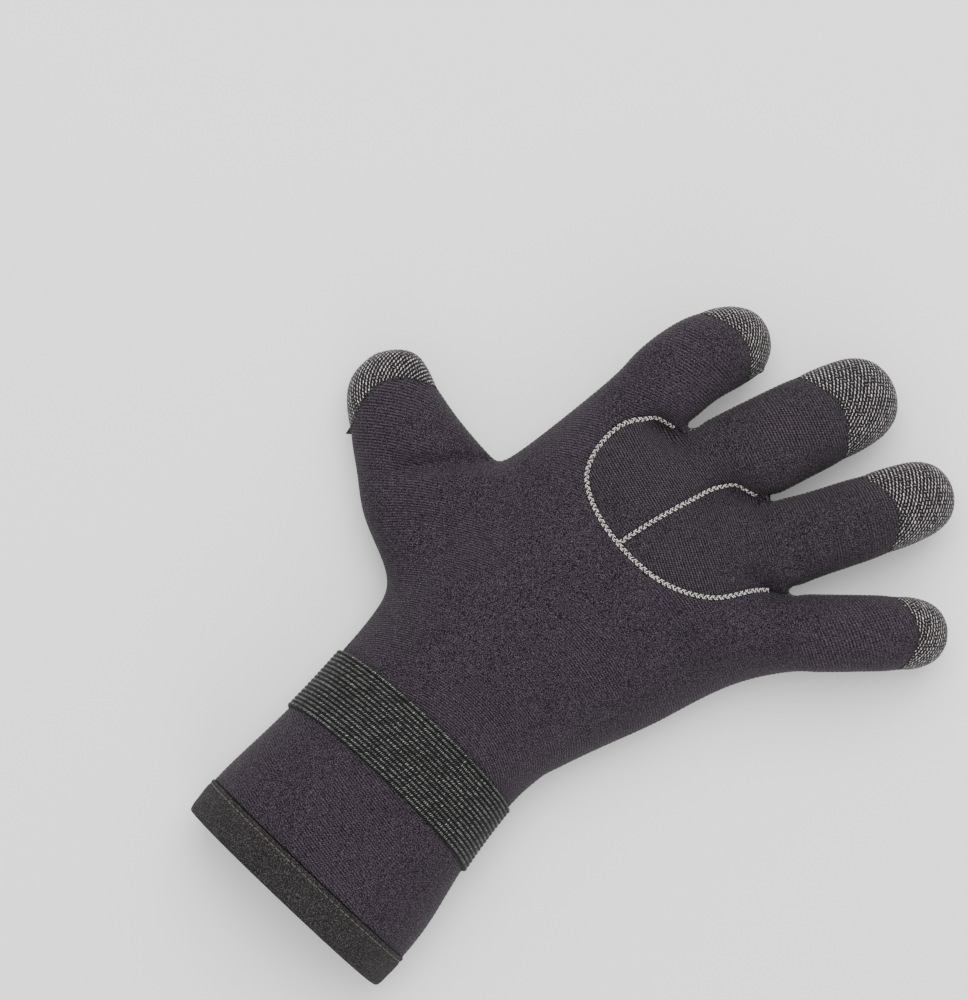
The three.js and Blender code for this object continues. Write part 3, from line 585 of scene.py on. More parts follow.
def bend_grain(place):
    """Ribs run straight across the gauntlet, and above the strap in arcs across the spread thumb and fingers."""
    x, y, _ = Vector((place.real, place.imag, 0)) / MM - ORIGIN
    if y < STRAIGHT_BELOW:
        return place
    low = GRAIN_CENTRES["thumb side" if x < GRAIN_MIDDLE else "little finger side"]
    arm = Vector((x - GRAIN_MIDDLE, y - low))
    return complex(arm.length * math.atan2(arm.x, arm.y), arm.length + low) * MM


def flatten(piece, method, grain=None):
    """Unwraps a panel to its flat pattern and turns, sizes and mirrors it as seen from above."""
    bpy.context.view_layer.objects.active = piece
    bpy.ops.object.mode_set(mode="EDIT")
    bpy.ops.mesh.select_all(action="SELECT")
    bpy.ops.uv.unwrap(method=method, margin=0)
    bpy.ops.object.mode_set(mode="OBJECT")
    mesh = piece.data
    pattern = mesh.uv_layers.active.data
    flat = {loop.vertex_index: complex(*pattern[loop.index].uv) for loop in mesh.loops}
    above = {i: complex(*mesh.vertices[i].co.xy) for i in flat}
    real = sum((mesh.vertices[a].co - mesh.vertices[b].co).length for a, b in mesh.edge_keys)
    size = real / sum(abs(flat[a] - flat[b]) for a, b in mesh.edge_keys)
    middle, centre = (sum(places.values()) / len(places) for places in (flat, above))
    turned = sum((above[i] - centre) * (flat[i] - middle).conjugate() for i in flat)
    mirrored = sum((above[i] - centre) * (flat[i] - middle) for i in flat)
    for loop in mesh.loops:
        place = flat[loop.vertex_index] - middle
        if abs(mirrored) > abs(turned):
            place = place.conjugate() * mirrored / abs(mirrored)
        else:
            place = place * turned / abs(turned)
        place = place * size + centre
        place = grain(place) if grain else place
        pattern[loop.index].uv = (place.real, place.imag)


def add_piece(name, mesh, cloth, slot=None, nodes=()):
    piece = bpy.data.objects.new(name, mesh)
    bpy.context.scene.collection.objects.link(piece)
    mesh.materials.clear()
    mesh.materials.append(cloth)
    mesh.polygons.foreach_set("use_smooth", [True] * len(mesh.polygons))
    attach(piece, "root")
    if nodes:
        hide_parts(*nodes)
    return piece


def add_panel(name, cloth, slot, method="ANGLE_BASED", grain=None):
    cut = sheet.copy()
    label = cut.faces.layers.int.get("panel")
    number = PANELS.index(name)
    outward = {tuple(vert.co): vert.normal.copy() for vert in cut.verts}
    bmesh.ops.delete(cut, geom=[face for face in cut.faces if face[label] != number], context="FACES")
    bmesh.ops.inset_region(cut, faces=cut.faces, thickness=EDGE_ROUND, use_boundary=True, use_even_offset=True)
    for vert in cut.verts:
        if vert.is_boundary:
            vert.co -= outward[tuple(vert.co)] * EDGE_DEPTH
    cut.loops.layers.uv.new(FLAT)
    for face in cut.faces:
        face.material_index = 0
    mesh = bpy.data.meshes.new(name)
    cut.to_mesh(mesh)
    cut.free()
    piece = add_piece(f"{name}_cloth", mesh, cloth, slot, [name])
    flatten(piece, method, grain)
    wall = piece.modifiers.new("wall", "SOLIDIFY")
    wall.thickness = NEOPRENE
    wall.offset = -1

# Cloth faces. Knit, webbing and tape all show rows of slanted thread ends, so one node group draws such
# rows over a flat pattern, and each cloth sets its own spacing, slant and thickness.
ROUGH_CLOTH = 0.9


def feed(tree, socket, source):
    if isinstance(source, bpy.types.NodeSocket):
        tree.links.new(source, socket)
    else:
        socket.default_value = source


def calc(tree, operation, *values):
    made = tree.nodes.new("ShaderNodeMath")
    made.operation = operation
    for socket, value in zip(made.inputs, values):
        feed(tree, socket, value)
    return made.outputs[0]


def fade(tree, value, start, end):
    """One up to start, falling smoothly to nought at end."""
    made = tree.nodes.new("ShaderNodeMapRange")
    made.interpolation_type = "SMOOTHSTEP"
    for name, source in (("Value", value), ("From Min", start), ("From Max", end), ("To Min", 1), ("To Max", 0)):
        feed(tree, made.inputs[name], source)
    return made.outputs["Result"]


def start_group(name, inputs, outputs):
    group = bpy.data.node_groups.new(name, "ShaderNodeTree")
    for label, kind in inputs.items():
        group.interface.new_socket(label, in_out="INPUT", socket_type=kind)
    for label in outputs:
        group.interface.new_socket(label, in_out="OUTPUT", socket_type="NodeSocketFloat")
    return group, group.nodes.new("NodeGroupInput").outputs, group.nodes.new("NodeGroupOutput").inputs


thread_rows, given, found = start_group(
    "thread rows",
    {
        "Pattern": "NodeSocketVector",
        "Spacing": "NodeSocketFloat",
        "Row Height": "NodeSocketFloat",
        "Slant": "NodeSocketFloat",
        "Turning": "NodeSocketFloat",
        "Length": "NodeSocketFloat",
        "Thickness": "NodeSocketFloat",
    },
    ["Thread", "Random"],
)
split = thread_rows.nodes.new("ShaderNodeSeparateXYZ")
feed(thread_rows, split.inputs[0], given["Pattern"])
height = calc(thread_rows, "DIVIDE", split.outputs["Y"], given["Row Height"])
row_number = calc(thread_rows, "FLOOR", height)
odd = calc(thread_rows, "FLOORED_MODULO", row_number, 2)
length = calc(thread_rows, "DIVIDE", split.outputs["X"], given["Spacing"])
length = calc(thread_rows, "MULTIPLY_ADD", odd, 0.5, length)
cell_number = calc(thread_rows, "FLOOR", length)
in_cell = calc(thread_rows, "SUBTRACT", calc(thread_rows, "FRACT", length), 0.5)
in_row = calc(thread_rows, "SUBTRACT", calc(thread_rows, "FRACT", height), 0.5)
cell = thread_rows.nodes.new("ShaderNodeCombineXYZ")
feed(thread_rows, cell.inputs["X"], cell_number)
feed(thread_rows, cell.inputs["Y"], row_number)
chance = thread_rows.nodes.new("ShaderNodeTexWhiteNoise")
feed(thread_rows, chance.inputs["Vector"], cell.outputs[0])
feed(thread_rows, found["Random"], chance.outputs["Value"])
second_chance = thread_rows.nodes.new("ShaderNodeSeparateColor")
feed(thread_rows, second_chance.inputs[0], chance.outputs["Color"])
turned_back = calc(thread_rows, "LESS_THAN", second_chance.outputs[0], given["Turning"])
lean = calc(thread_rows, "MULTIPLY", calc(thread_rows, "MULTIPLY_ADD", turned_back, -2, 1), given["Slant"])
rise = calc(thread_rows, "MULTIPLY", lean, in_cell)
off_line = calc(thread_rows, "ABSOLUTE", calc(thread_rows, "SUBTRACT", in_row, rise))
half = calc(thread_rows, "MULTIPLY", given["Thickness"], 0.5)
across_thread = fade(thread_rows, off_line, calc(thread_rows, "MULTIPLY", half, 0.3), half)
half = calc(thread_rows, "MULTIPLY", given["Length"], 0.5)
to_end = calc(thread_rows, "ABSOLUTE", in_cell)
along_thread = fade(thread_rows, to_end, calc(thread_rows, "MULTIPLY", half, 0.6), half)
feed(thread_rows, found["Thread"], calc(thread_rows, "MULTIPLY", across_thread, along_thread))

# Fibre fuzz and slow changes of shade that every cloth has
fuzz, given, found = start_group(
    "fuzz", {"Pattern": "NodeSocketVector", "Fibre": "NodeSocketFloat", "Patch": "NodeSocketFloat"}, ["Fuzz", "Shade"]
)
for label, size, detail in (("Fuzz", "Fibre", 2), ("Shade", "Patch", 3)):
    noise = fuzz.nodes.new("ShaderNodeTexNoise")
    noise.noise_dimensions = "3D"
    noise.inputs["Detail"].default_value = detail
    feed(fuzz, noise.inputs["Vector"], given["Pattern"])
    feed(fuzz, noise.inputs["Scale"], calc(fuzz, "DIVIDE", 1, given[size]))
    feed(fuzz, found[label], noise.outputs[0])


def place_group(tree, group, **values):
    made = tree.nodes.new("ShaderNodeGroup")
    made.node_tree = group
    for label, value in values.items():
        feed(tree, made.inputs[label.replace("_", " ")], value)
    return made.outputs


def blend_colors(tree, share, dark, light):
    made = tree.nodes.new("ShaderNodeMix")
    made.data_type = "RGBA"
    feed(tree, made.inputs["Factor"], share)
    for socket, color in ((made.inputs[6], dark), (made.inputs[7], light)):
        feed(tree, socket, color if isinstance(color, bpy.types.NodeSocket) else (*color, 1))
    return made.outputs[2]


def start_cloth(name, sheen, rough=ROUGH_CLOTH):
    """A cloth's shader with its flat pattern and its object coordinates."""
    cloth = bpy.data.materials.new(name)
    cloth.use_nodes = True
    tree = cloth.node_tree
    shader = tree.nodes["Principled BSDF"]
    shader.inputs["Roughness"].default_value = rough
    shader.inputs["Specular IOR Level"].default_value = 0.12
    shader.inputs["Sheen Weight"].default_value = sheen
    shader.inputs["Sheen Roughness"].default_value = 0.5
    pattern = tree.nodes.new("ShaderNodeUVMap")
    pattern.uv_map = FLAT
    solid = tree.nodes.new("ShaderNodeTexCoord")
    return cloth, tree, shader, pattern.outputs[0], solid.outputs["Object"]


def wobbled(tree, pattern, size, sideways, upwards):
    """The pattern pushed about by at most half of each amount, so that its threads lie unevenly."""
    noise = tree.nodes.new("ShaderNodeTexNoise")
    noise.inputs["Scale"].default_value = 1 / size
    feed(tree, noise.inputs["Vector"], pattern)
    shift = tree.nodes.new("ShaderNodeVectorMath")
    shift.operation = "MULTIPLY_ADD"
    feed(tree, shift.inputs[0], noise.outputs["Color"])
    shift.inputs[1].default_value = (sideways, upwards, 0)
    feed(tree, shift.inputs[2], pattern)
    return shift.outputs[0]


def raise_threads(tree, shader, height, distance, strength=1.0):
    bump = tree.nodes.new("ShaderNodeBump")
    bump.inputs["Strength"].default_value = strength
    bump.inputs["Distance"].default_value = distance
    feed(tree, bump.inputs["Height"], height)
    feed(tree, shader.inputs["Normal"], bump.outputs[0])


# Neoprene face: fine charcoal jersey, slightly purple, its ribs 1 mm apart across the glove and across
# the fingers, plain in some places and nearly lost in the fuzz in others
JERSEY_RIB = 1.05 * MM
JERSEY_STITCH = 0.9 * MM


def neoprene_face(name, dark, light, ribbing):
    cloth, tree, shader, pattern, solid = start_cloth(name, 0.04)
    ribs = place_group(
        tree, thread_rows, Pattern=pattern, Spacing=JERSEY_STITCH, Row_Height=JERSEY_RIB, Slant=0.3, Turning=0,
        Length=1.2, Thickness=0.75,
    )
    fibre = place_group(tree, fuzz, Pattern=solid, Fibre=0.33 * MM, Patch=24 * MM)
    worn = place_group(tree, fuzz, Pattern=solid, Fibre=9 * MM, Patch=38 * MM)
    ribbed = calc(tree, "SUBTRACT", 1, fade(tree, worn["Shade"], 0.4, 0.6))
    ribbed = calc(tree, "MULTIPLY_ADD", ribbed, ribbing, 0.15)
    thread = calc(tree, "MULTIPLY", calc(tree, "SUBTRACT", ribs["Thread"], 0.45), ribbed)
    thread = calc(tree, "MULTIPLY_ADD", thread, 0.42, -0.02)
    specks = calc(tree, "SUBTRACT", 1, fade(tree, fibre["Fuzz"], 0.45, 0.64))
    shade = calc(tree, "MULTIPLY_ADD", specks, 0.6, thread)
    shade = calc(tree, "MULTIPLY_ADD", calc(tree, "SUBTRACT", fibre["Shade"], 0.5), 0.1, shade)
    shade = calc(tree, "MAXIMUM", shade, 0)
    feed(tree, shader.inputs["Base Color"], blend_colors(tree, shade, dark, light))
    height = calc(tree, "MULTIPLY_ADD", fibre["Fuzz"], 0.7, calc(tree, "MULTIPLY", ribs["Thread"], ribbed))
    raise_threads(tree, shader, height, 0.2 * MM)
    return cloth


neoprene = neoprene_face("neoprene", (0.003, 0.002, 0.004), (0.122, 0.092, 0.12), 0.7)
knuckle_neoprene = neoprene_face("knuckle neoprene", (0.0025, 0.0018, 0.003), (0.112, 0.09, 0.112), 1.15)


def turned_grain(degrees):
    return lambda place: place * complex(math.cos(math.radians(degrees)), math.sin(math.radians(degrees)))


for name, cloth, slot, grain in (
    ("back_panel", neoprene, "neoprene", bend_grain),
    ("middle_finger_back", knuckle_neoprene, "knuckle_neoprene", turned_grain(12)),
    ("ring_finger_back", knuckle_neoprene, "knuckle_neoprene", turned_grain(22)),
    ("gauntlet_underside", neoprene, "neoprene", None),
):
    add_panel(name, cloth, slot, grain=grain)

# Palm, fronts of the fingers and tip caps: black cut-proof knit whose light grey yarn shows as staggered
# slanted flecks, 1.7 mm apart in rows 1.3 mm high, all standing a little proud
FLECK_SPACING = 1.7 * MM
FLECK_ROW = 1.3 * MM
palm_knit, tree, shader, pattern, solid = start_cloth("palm knit", 0.06, 0.8)
uneven = wobbled(tree, pattern, 1.1 * MM, 0.9 * MM, 0.9 * MM)
flecks = place_group(
    tree, thread_rows, Pattern=uneven, Spacing=FLECK_SPACING, Row_Height=FLECK_ROW, Slant=-0.95, Turning=0.12,
    Length=0.66, Thickness=0.55,
)
fibre = place_group(tree, fuzz, Pattern=solid, Fibre=0.5 * MM, Patch=15 * MM)
bright = calc(tree, "MULTIPLY_ADD", flecks["Random"], 0.75, 0.25)
bright = calc(tree, "MULTIPLY", bright, flecks["Thread"])
bright = calc(tree, "MULTIPLY", bright, calc(tree, "MULTIPLY_ADD", fibre["Fuzz"], 2.2, -0.1))
feed(tree, shader.inputs["Base Color"], blend_colors(tree, bright, (0.007, 0.006, 0.007), (0.74, 0.68, 0.67)))
raise_threads(tree, shader, calc(tree, "MULTIPLY_ADD", fibre["Fuzz"], 0.3, flecks["Thread"]), 0.35 * MM)
for name in ("palm_panel", "index_tip_cap", "middle_tip_cap", "ring_tip_cap", "pinky_tip_cap", "thumb_tip_cap"):
    add_panel(name, palm_knit, "palm_knit", "MINIMUM_STRETCH")

# Hem band: black brushed tape, 15 mm wide, turned round the mouth of the gauntlet and sewn 2 mm below
# its upper edge, which stands a little proud of the neoprene
STATIONS = 260
HEM_TOP = HEM_WIDTH - CUFF_LENGTH
HEM_PROFILE = [
    (HEM_TOP - 0.3, -0.6), (HEM_TOP - 0.1, 0.3), (HEM_TOP - 0.5, 0.85), (HEM_TOP - 1.2, 0.95), (HEM_TOP - 1.7, 0.65),
    (HEM_TOP - 2, 0.35), (HEM_TOP - 2.3, 0.65), (HEM_TOP - 3.2, 0.9), (HEM_TOP - 6, 0.95), (HEM_TOP - 9, 0.85),
    (HEM_TOP - 12, 0.9), (HEM_TOP - 14, 0.65), (HEM_TOP - 14.9, 0), (HEM_TOP - 15.2, -1.3), (HEM_TOP - 14.9, -2.7),
    (HEM_TOP - 14, -3.5), (HEM_TOP - 11, -3.8), (HEM_TOP - 7, -3.8), (HEM_TOP - 3, -3.8), (HEM_TOP - 0.5, -3.6),
]
HEM_LEAN = 1.8


def arm_axes(lean):
    turn = math.radians(CUFF_TILT)
    return Vector((math.cos(turn), math.sin(turn), 0)), Vector((0, lean / WRIST_HEIGHT, 1))


def arm_middle(length):
    return Vector((-CUFF_DRIFT * length / CUFF_LENGTH, length, WRIST_HEIGHT / 2))


def skin(start, direction):
    """Where a line from inside the glove meets its cloth, in metres."""
    return body_tree.ray_cast((start + ORIGIN) * MM, direction)[0]


def skin_round(length, turn, lean):
    """The gauntlet's surface round the arm, drawn on in a straight line past its mouth."""
    on_cloth = max(length, 1 - CUFF_LENGTH)
    across, up = arm_axes(lean)
    direction = across * math.cos(turn) + up * math.sin(turn)
    return skin(arm_middle(on_cloth), direction) + Vector((0, (length - on_cloth) * MM, 0))


def carry_profile(profile, stations, on_skin, closed, ribbed=False):
    """A closed profile of lengths and heights carried over the skin from station to station. The flat
    pattern of a ribbed band leaves out the relief of its ribs."""
    maker = bmesh.new()
    steps = len(profile)
    bmesh.ops.create_grid(maker, x_segments=steps, y_segments=stations, size=1)
    flat_map = maker.loops.layers.uv.new(FLAT)
    first, last = profile[0][0], min(length for length, _ in profile)
    spine = [on_skin((first + last) / 2, k / stations) for k in range(stations + 1)]
    edges = [(on_skin(first, k / stations), on_skin(last, k / stations)) for k in range(stations + 1)]
    travelled = [0.0]
    for a, b in zip(spine, spine[1:]):
        travelled.append(travelled[-1] + (b - a).length)
    outward = []
    for k in range(stations + 1):
        before, after = (k - 1) % stations, (k + 1) % stations
        if not closed:
            before, after = max(k - 1, 0), min(k + 1, stations)
        run = spine[after] - spine[before]
        outward.append(run.cross(edges[k][1] - edges[k][0]).normalized())
    widths = [0.0]
    for (a, height_a), (b, height_b) in zip(profile, profile[1:] + profile[:1]):
        rise = 0 if ribbed else height_b - height_a
        widths.append(widths[-1] + math.hypot(b - a, rise) * MM)
    spots = {vert: (round((vert.co.x + 1) / 2 * steps), round((vert.co.y + 1) / 2 * stations)) for vert in maker.verts}
    for face in maker.faces:
        for loop in face.loops:
            i, k = spots[loop.vert]
            loop[flat_map].uv = (travelled[k], widths[i])
    for vert, (i, k) in spots.items():
        length, height = profile[i % steps]
        vert.co = on_skin(length, k / stations) + outward[k] * height * MM
    bmesh.ops.remove_doubles(maker, verts=maker.verts, dist=0.001 * MM)
    if not closed:
        bmesh.ops.holes_fill(maker, edges=[edge for edge in maker.edges if edge.is_boundary])
    bmesh.ops.recalc_face_normals(maker, faces=maker.faces)
    mesh = bpy.data.meshes.new("band")
    maker.to_mesh(mesh)
    maker.free()
    return mesh


hem_tape, tree, shader, pattern, solid = start_cloth("hem tape", 0.03, 0.95)
nap = place_group(tree, fuzz, Pattern=solid, Fibre=0.4 * MM, Patch=9 * MM)
specks = fade(tree, nap["Fuzz"], 0.68, 0.48)
shade = calc(tree, "MULTIPLY_ADD", specks, 0.8, calc(tree, "MULTIPLY", nap["Shade"], 0.15))
feed(tree, shader.inputs["Base Color"], blend_colors(tree, shade, (0.004, 0.0035, 0.004), (0.085, 0.078, 0.076)))
raise_threads(tree, shader, nap["Fuzz"], 0.5 * MM)
hem_mesh = carry_profile(
    HEM_PROFILE, STATIONS, lambda length, share: skin_round(length, share * math.tau, HEM_LEAN), True
)
hem_piece = add_piece("hem_band_tape", hem_mesh, hem_tape, "hem", ["hem_band"])

# Wrist strap: greenish black elastic, 29 mm wide, its 16 ribs running round the wrist, each a cord of
# slanted thread ends. It is sewn down along the side seams only, so it lies on the neoprene like a belt.
STRAP_WIDTH = 29
STRAP_MIDDLE = -32.5
STRAP_RIBS = 16
STRAP_THICK = 1.4
RIB_RELIEF = 0.6
RIB_STEPS = 4
LAYER_GAP = 0.3


def ribbed_profile(middle, width, ribs, inner, thick, relief):
    """Closed section of a ribbed band: ribs on the outside, rounded edges, flat underside."""
    outer = inner + thick
    top = []
    for i in range(ribs * RIB_STEPS + 1):
        share = i / (ribs * RIB_STEPS)
        rib = abs(math.sin(math.pi * share * ribs)) ** 0.7
        edge = min(share, 1 - share) * width
        shoulder = math.sqrt(1 - (1 - min(1, edge / 0.9)) ** 2)
        height = inner + (thick - relief * (1 - rib)) * (0.45 + 0.55 * shoulder)
        top.append((middle + width / 2 - width * share, height))
    bottom = [(middle - width / 2, inner), (middle, inner), (middle + width / 2, inner)]
    return top + bottom


def webbing(name, sheen, spacing, row_height, slant, turning, dark, light, thickness=0.6, length=0.95):
    cloth, tree, shader, pattern, solid = start_cloth(name, sheen, 0.7)
    uneven = wobbled(tree, pattern, 1.3 * MM, 1.6 * MM, 0.25 * MM)
    ends = place_group(
        tree, thread_rows, Pattern=uneven, Spacing=spacing, Row_Height=row_height, Slant=slant, Turning=turning,
        Length=length, Thickness=thickness,
    )
    fibre = place_group(tree, fuzz, Pattern=solid, Fibre=0.4 * MM, Patch=12 * MM)
    bright = calc(tree, "MULTIPLY", ends["Thread"], calc(tree, "MULTIPLY_ADD", ends["Random"], 0.7, 0.2))
    bright = calc(tree, "MULTIPLY", bright, calc(tree, "MULTIPLY_ADD", fibre["Fuzz"], 3, -0.6))
    feed(tree, shader.inputs["Base Color"], blend_colors(tree, bright, dark, light))
    raise_threads(tree, shader, calc(tree, "MULTIPLY_ADD", fibre["Fuzz"], 0.3, ends["Thread"]), 0.25 * MM)
    return cloth


elastic = webbing(
    "elastic", 0.03, 0.8 * MM, STRAP_WIDTH / STRAP_RIBS * MM, 0.6, 0, (0.003, 0.0035, 0.003), (0.29, 0.302, 0.285), 0.42
)
strap_profile = ribbed_profile(STRAP_MIDDLE, STRAP_WIDTH, STRAP_RIBS, LAYER_GAP, STRAP_THICK, RIB_RELIEF)
strap_mesh = carry_profile(
    strap_profile, STATIONS, lambda length, share: skin_round(length, share * math.tau, STRAP_LEAN), True, True
)
strap_piece = add_piece("wrist_strap_webbing", strap_mesh, elastic, "elastic", ["wrist_strap"])

# Closure on the palm side: a black hook patch on the strap, and over it a finely ribbed grey-green tab
# whose loop back is pressed on to the hooks, so that a strip of hooks shows past the tab's end
TAB_WIDTH = 27
TAB_LENGTH = 67
TAB_FROM_SIDE = 7
TAB_MIDDLE = STRAP_MIDDLE - 2
TAB_RIBS = 20
TAB_THICK = 1.2
HOOK_THICK = 0.9
HOOK_SHOWS = 4
TAB_STATIONS = 90


def skin_under(length, from_side):
    """The gauntlet's surface straight under the strap, counted from the thumb's side."""
    across, up = arm_axes(STRAP_LEAN)
    return skin(arm_middle(length) + across * (from_side - WRIST_WIDTH / 2), -up)


def on_underside(start, end):
    return lambda length, share: skin_under(length, mix(start, end, share))


hook_tape = webbing("hook tape", 0, 0.9 * MM, 0.9 * MM, 0.1, 1, (0.004, 0.004, 0.005), (0.09, 0.09, 0.09), 0.5, 0.5)
hook_inner = LAYER_GAP + STRAP_THICK + LAYER_GAP
tab_end = TAB_FROM_SIDE + TAB_LENGTH
hook_profile = ribbed_profile(TAB_MIDDLE, TAB_WIDTH, 12, hook_inner, HOOK_THICK, 0.1)
hook_mesh = carry_profile(hook_profile, TAB_STATIONS, on_underside(TAB_FROM_SIDE, tab_end + HOOK_SHOWS), False, True)
hook_piece = add_piece("hook_pad_tape", hook_mesh, hook_tape, "hook", ["hook_pad"])
tab_tape = webbing(
    "tab tape", 0.04, 0.9 * MM, TAB_WIDTH / TAB_RIBS / 2 * MM, 0.5, 0.5, (0.012, 0.015, 0.014), (0.13, 0.145, 0.138), 0.8
)
tab_inner = hook_inner + HOOK_THICK + LAYER_GAP
tab_profile = ribbed_profile(TAB_MIDDLE, TAB_WIDTH, TAB_RIBS, tab_inner, TAB_THICK, 0.25)
tab_mesh = carry_profile(tab_profile, TAB_STATIONS, on_underside(TAB_FROM_SIDE, tab_end), False, True)
tab_piece = add_piece("closure_tab_tape", tab_mesh, tab_tape, "tab", ["closure_tab"])

# Threads. The knuckle panels are joined by a flat braid of two light threads and a dark one, 2 mm wide.
# Black zigzag closes the seams of the knit, a light blind stitch follows the side seam, and a black
# running stitch holds the hem.
CHAIN_STEP = 0.35 * MM
SHORTEST_CHAIN = 9 * MM
EASING = 4
NEAR = 1.5 * MM


def seam_chains(first, second):
    """Lines of points and outward directions along the seams between two groups of panels."""
    one, other = ({PANELS.index(name) for name in group} for group in (first, second))
    beside = {}
    for edge in sheet.edges:
        numbers = {face[panel] for face in edge.link_faces}
        if len(numbers) == 2 and numbers & one and numbers & other and not (numbers <= one or numbers <= other):
            for vert in edge.verts:
                beside.setdefault(vert, []).append(edge.other_vert(vert))
    chains = []
    while beside:
        start = next((vert for vert in beside if len(beside[vert]) == 1), next(iter(beside)))
        chain = [start]
        while True:
            onward = [vert for vert in beside.pop(chain[-1]) if vert in beside]
            if not onward:
                break
            chain.append(onward[0])
        if sum((b.co - a.co).length for a, b in zip(chain, chain[1:])) > SHORTEST_CHAIN:
            chains.append([(vert.co.copy(), vert.normal.copy()) for vert in chain])
    return chains


def evened(chain, step):
    """The same line on the cloth, with its points evenly spaced and its corners eased."""
    for _ in range(EASING):
        eased = [((a[0] + 2 * b[0] + c[0]) / 4, (a[1] + 2 * b[1] + c[1]) / 4) for a, b, c in
                 zip(chain, chain[1:], chain[2:])]
        chain = [chain[0], *eased, chain[-1]]
    places = []
    left = 0.0
    for (a, up_a), (b, up_b) in zip(chain, chain[1:]):
        run = (b - a).length
        while left < run:
            share = left / run
            place, up = a.lerp(b, share), up_a.lerp(up_b, share).normalized()
            places.append((body_tree.ray_cast(place + up * NEAR, -up, 2 * NEAR)[0] or place, up))
            left += step
        left -= run
    return places


def lay_threads(name, chains, strands, step, radius, cloth, sides=1):
    """Tubes of thread along the chains. A strand gives the place across and above the seam at each step."""
    line = bpy.data.curves.new(name, "CURVE")
    line.dimensions = "3D"
    line.bevel_depth = radius
    line.bevel_resolution = sides
    line.use_fill_caps = True
    for chain in chains:
        places = evened(chain, step)
        for strand in strands:
            run = []
            for k in range(1, len(places) - 1):
                (before, _), (here, up), (after, _) = places[k - 1:k + 2]
                side = up.cross(after - before).normalized()
                side = side if side.z > 0 else -side
                spot_on = strand(k)
                if spot_on is None:
                    if len(run) > 1:
                        add_run(line, run)
                    run = []
                else:
                    run.append(here + side * spot_on[0] + up * spot_on[1])
            if len(run) > 1:
                add_run(line, run)
    carrier = bpy.data.objects.new(name, line)
    bpy.context.scene.collection.objects.link(carrier)
    mesh = bpy.data.meshes.new_from_object(carrier.evaluated_get(bpy.context.evaluated_depsgraph_get()))
    bpy.data.objects.remove(carrier)
    return add_piece(name, mesh, cloth)


def add_run(line, run):
    spline = line.splines.new("POLY")
    spline.points.add(len(run) - 1)
    for point, place in zip(spline.points, run):
        point.co = (*place, 1)


def yarn(name, color, light):
    cloth, tree, shader, pattern, solid = start_cloth(name, 0.1, 0.7)
    fibre = place_group(tree, fuzz, Pattern=solid, Fibre=0.3 * MM, Patch=5 * MM)
    lit = calc(tree, "SUBTRACT", 1, fade(tree, fibre["Fuzz"], 0.35, 0.6))
    feed(tree, shader.inputs["Base Color"], blend_colors(tree, lit, color, light))
    raise_threads(tree, shader, fibre["Fuzz"], 0.08 * MM)
    return cloth


light_yarn = yarn("light thread", (0.1, 0.09, 0.08), (0.95, 0.91, 0.85))
dark_yarn = yarn("dark thread", (0.004, 0.004, 0.004), (0.03, 0.028, 0.03))
grey_yarn = yarn("grey thread", (0.08, 0.075, 0.07), (0.35, 0.33, 0.3))
hem_yarn = yarn("hem thread", (0.02, 0.018, 0.017), (0.14, 0.125, 0.11))

BRAID_STEP = 0.22 * MM
BRAID_PERIOD = 2.3 * MM
BRAID_WIDTH = 0.76 * MM
BRAID_DEPTH = 0.2 * MM
BRAID_LIFT = 0.3 * MM
BRAID_RADIUS = 0.15 * MM
DARK_RADIUS = 0.24 * MM
KNUCKLE_BACKS = ["middle_finger_back", "ring_finger_back"]


def braid_strand(part):
    def strand(k):
        turn = math.tau * (k * BRAID_STEP / BRAID_PERIOD + part / 3)
        return BRAID_WIDTH * math.sin(turn), BRAID_LIFT + BRAID_DEPTH * math.sin(2 * turn)

    return strand


FOLD_AHEAD = Vector((0, 2.5, 0))
CROTCHES = [(spot(*root) + FOLD_AHEAD + ORIGIN).xy * MM for root in ROOTS[1:4]]
FOLD_HIDES = 5 * MM


def out_of_folds(chain):
    """The stretch of a seam that doesn't run down into the fold at a crotch, where its threads hide."""
    return [here for here in chain if min((here[0].xy - crotch).length for crotch in CROTCHES) > FOLD_HIDES]


contrast = seam_chains(["back_panel"], KNUCKLE_BACKS) + seam_chains(KNUCKLE_BACKS[:1], KNUCKLE_BACKS[1:])
shows = [out_of_folds(chain) for chain in contrast]
lay_threads("contrast_braid_light", shows, [braid_strand(0), braid_strand(1)], BRAID_STEP, BRAID_RADIUS, light_yarn)
lay_threads("contrast_braid_dark", shows, [braid_strand(2)], BRAID_STEP, DARK_RADIUS, dark_yarn)

ZIGZAG_PERIOD = 6
ZIGZAG_WIDTH = 0.7 * MM
ZIGZAG_LIFT = 0.04 * MM
ZIGZAG_RADIUS = 0.2 * MM


def zigzag(k):
    share = k % ZIGZAG_PERIOD / ZIGZAG_PERIOD
    return ZIGZAG_WIDTH * (4 * abs(share - 0.5) - 1), ZIGZAG_LIFT


caps = ["index_tip_cap", "middle_tip_cap", "ring_tip_cap", "pinky_tip_cap", "thumb_tip_cap"]
backs = ["back_panel", *KNUCKLE_BACKS]
knit_seams = seam_chains(caps, backs) + seam_chains(["palm_panel"], ["gauntlet_underside"])
side_seams = seam_chains([*backs, *caps], ["palm_panel", "gauntlet_underside"])
lay_threads("knit_seam_zigzag", knit_seams, [zigzag], CHAIN_STEP, ZIGZAG_RADIUS, dark_yarn)
lay_threads("side_seam_zigzag", side_seams, [zigzag], CHAIN_STEP, ZIGZAG_RADIUS, dark_yarn)

BLIND_PERIOD = 5
BLIND_LENGTH = 3
BLIND_ACROSS = 0.9 * MM
BLIND_LIFT = 0.02 * MM
BLIND_RADIUS = 0.13 * MM


def blind_stitch(k):
    return (BLIND_ACROSS, BLIND_LIFT) if k % BLIND_PERIOD < BLIND_LENGTH else None


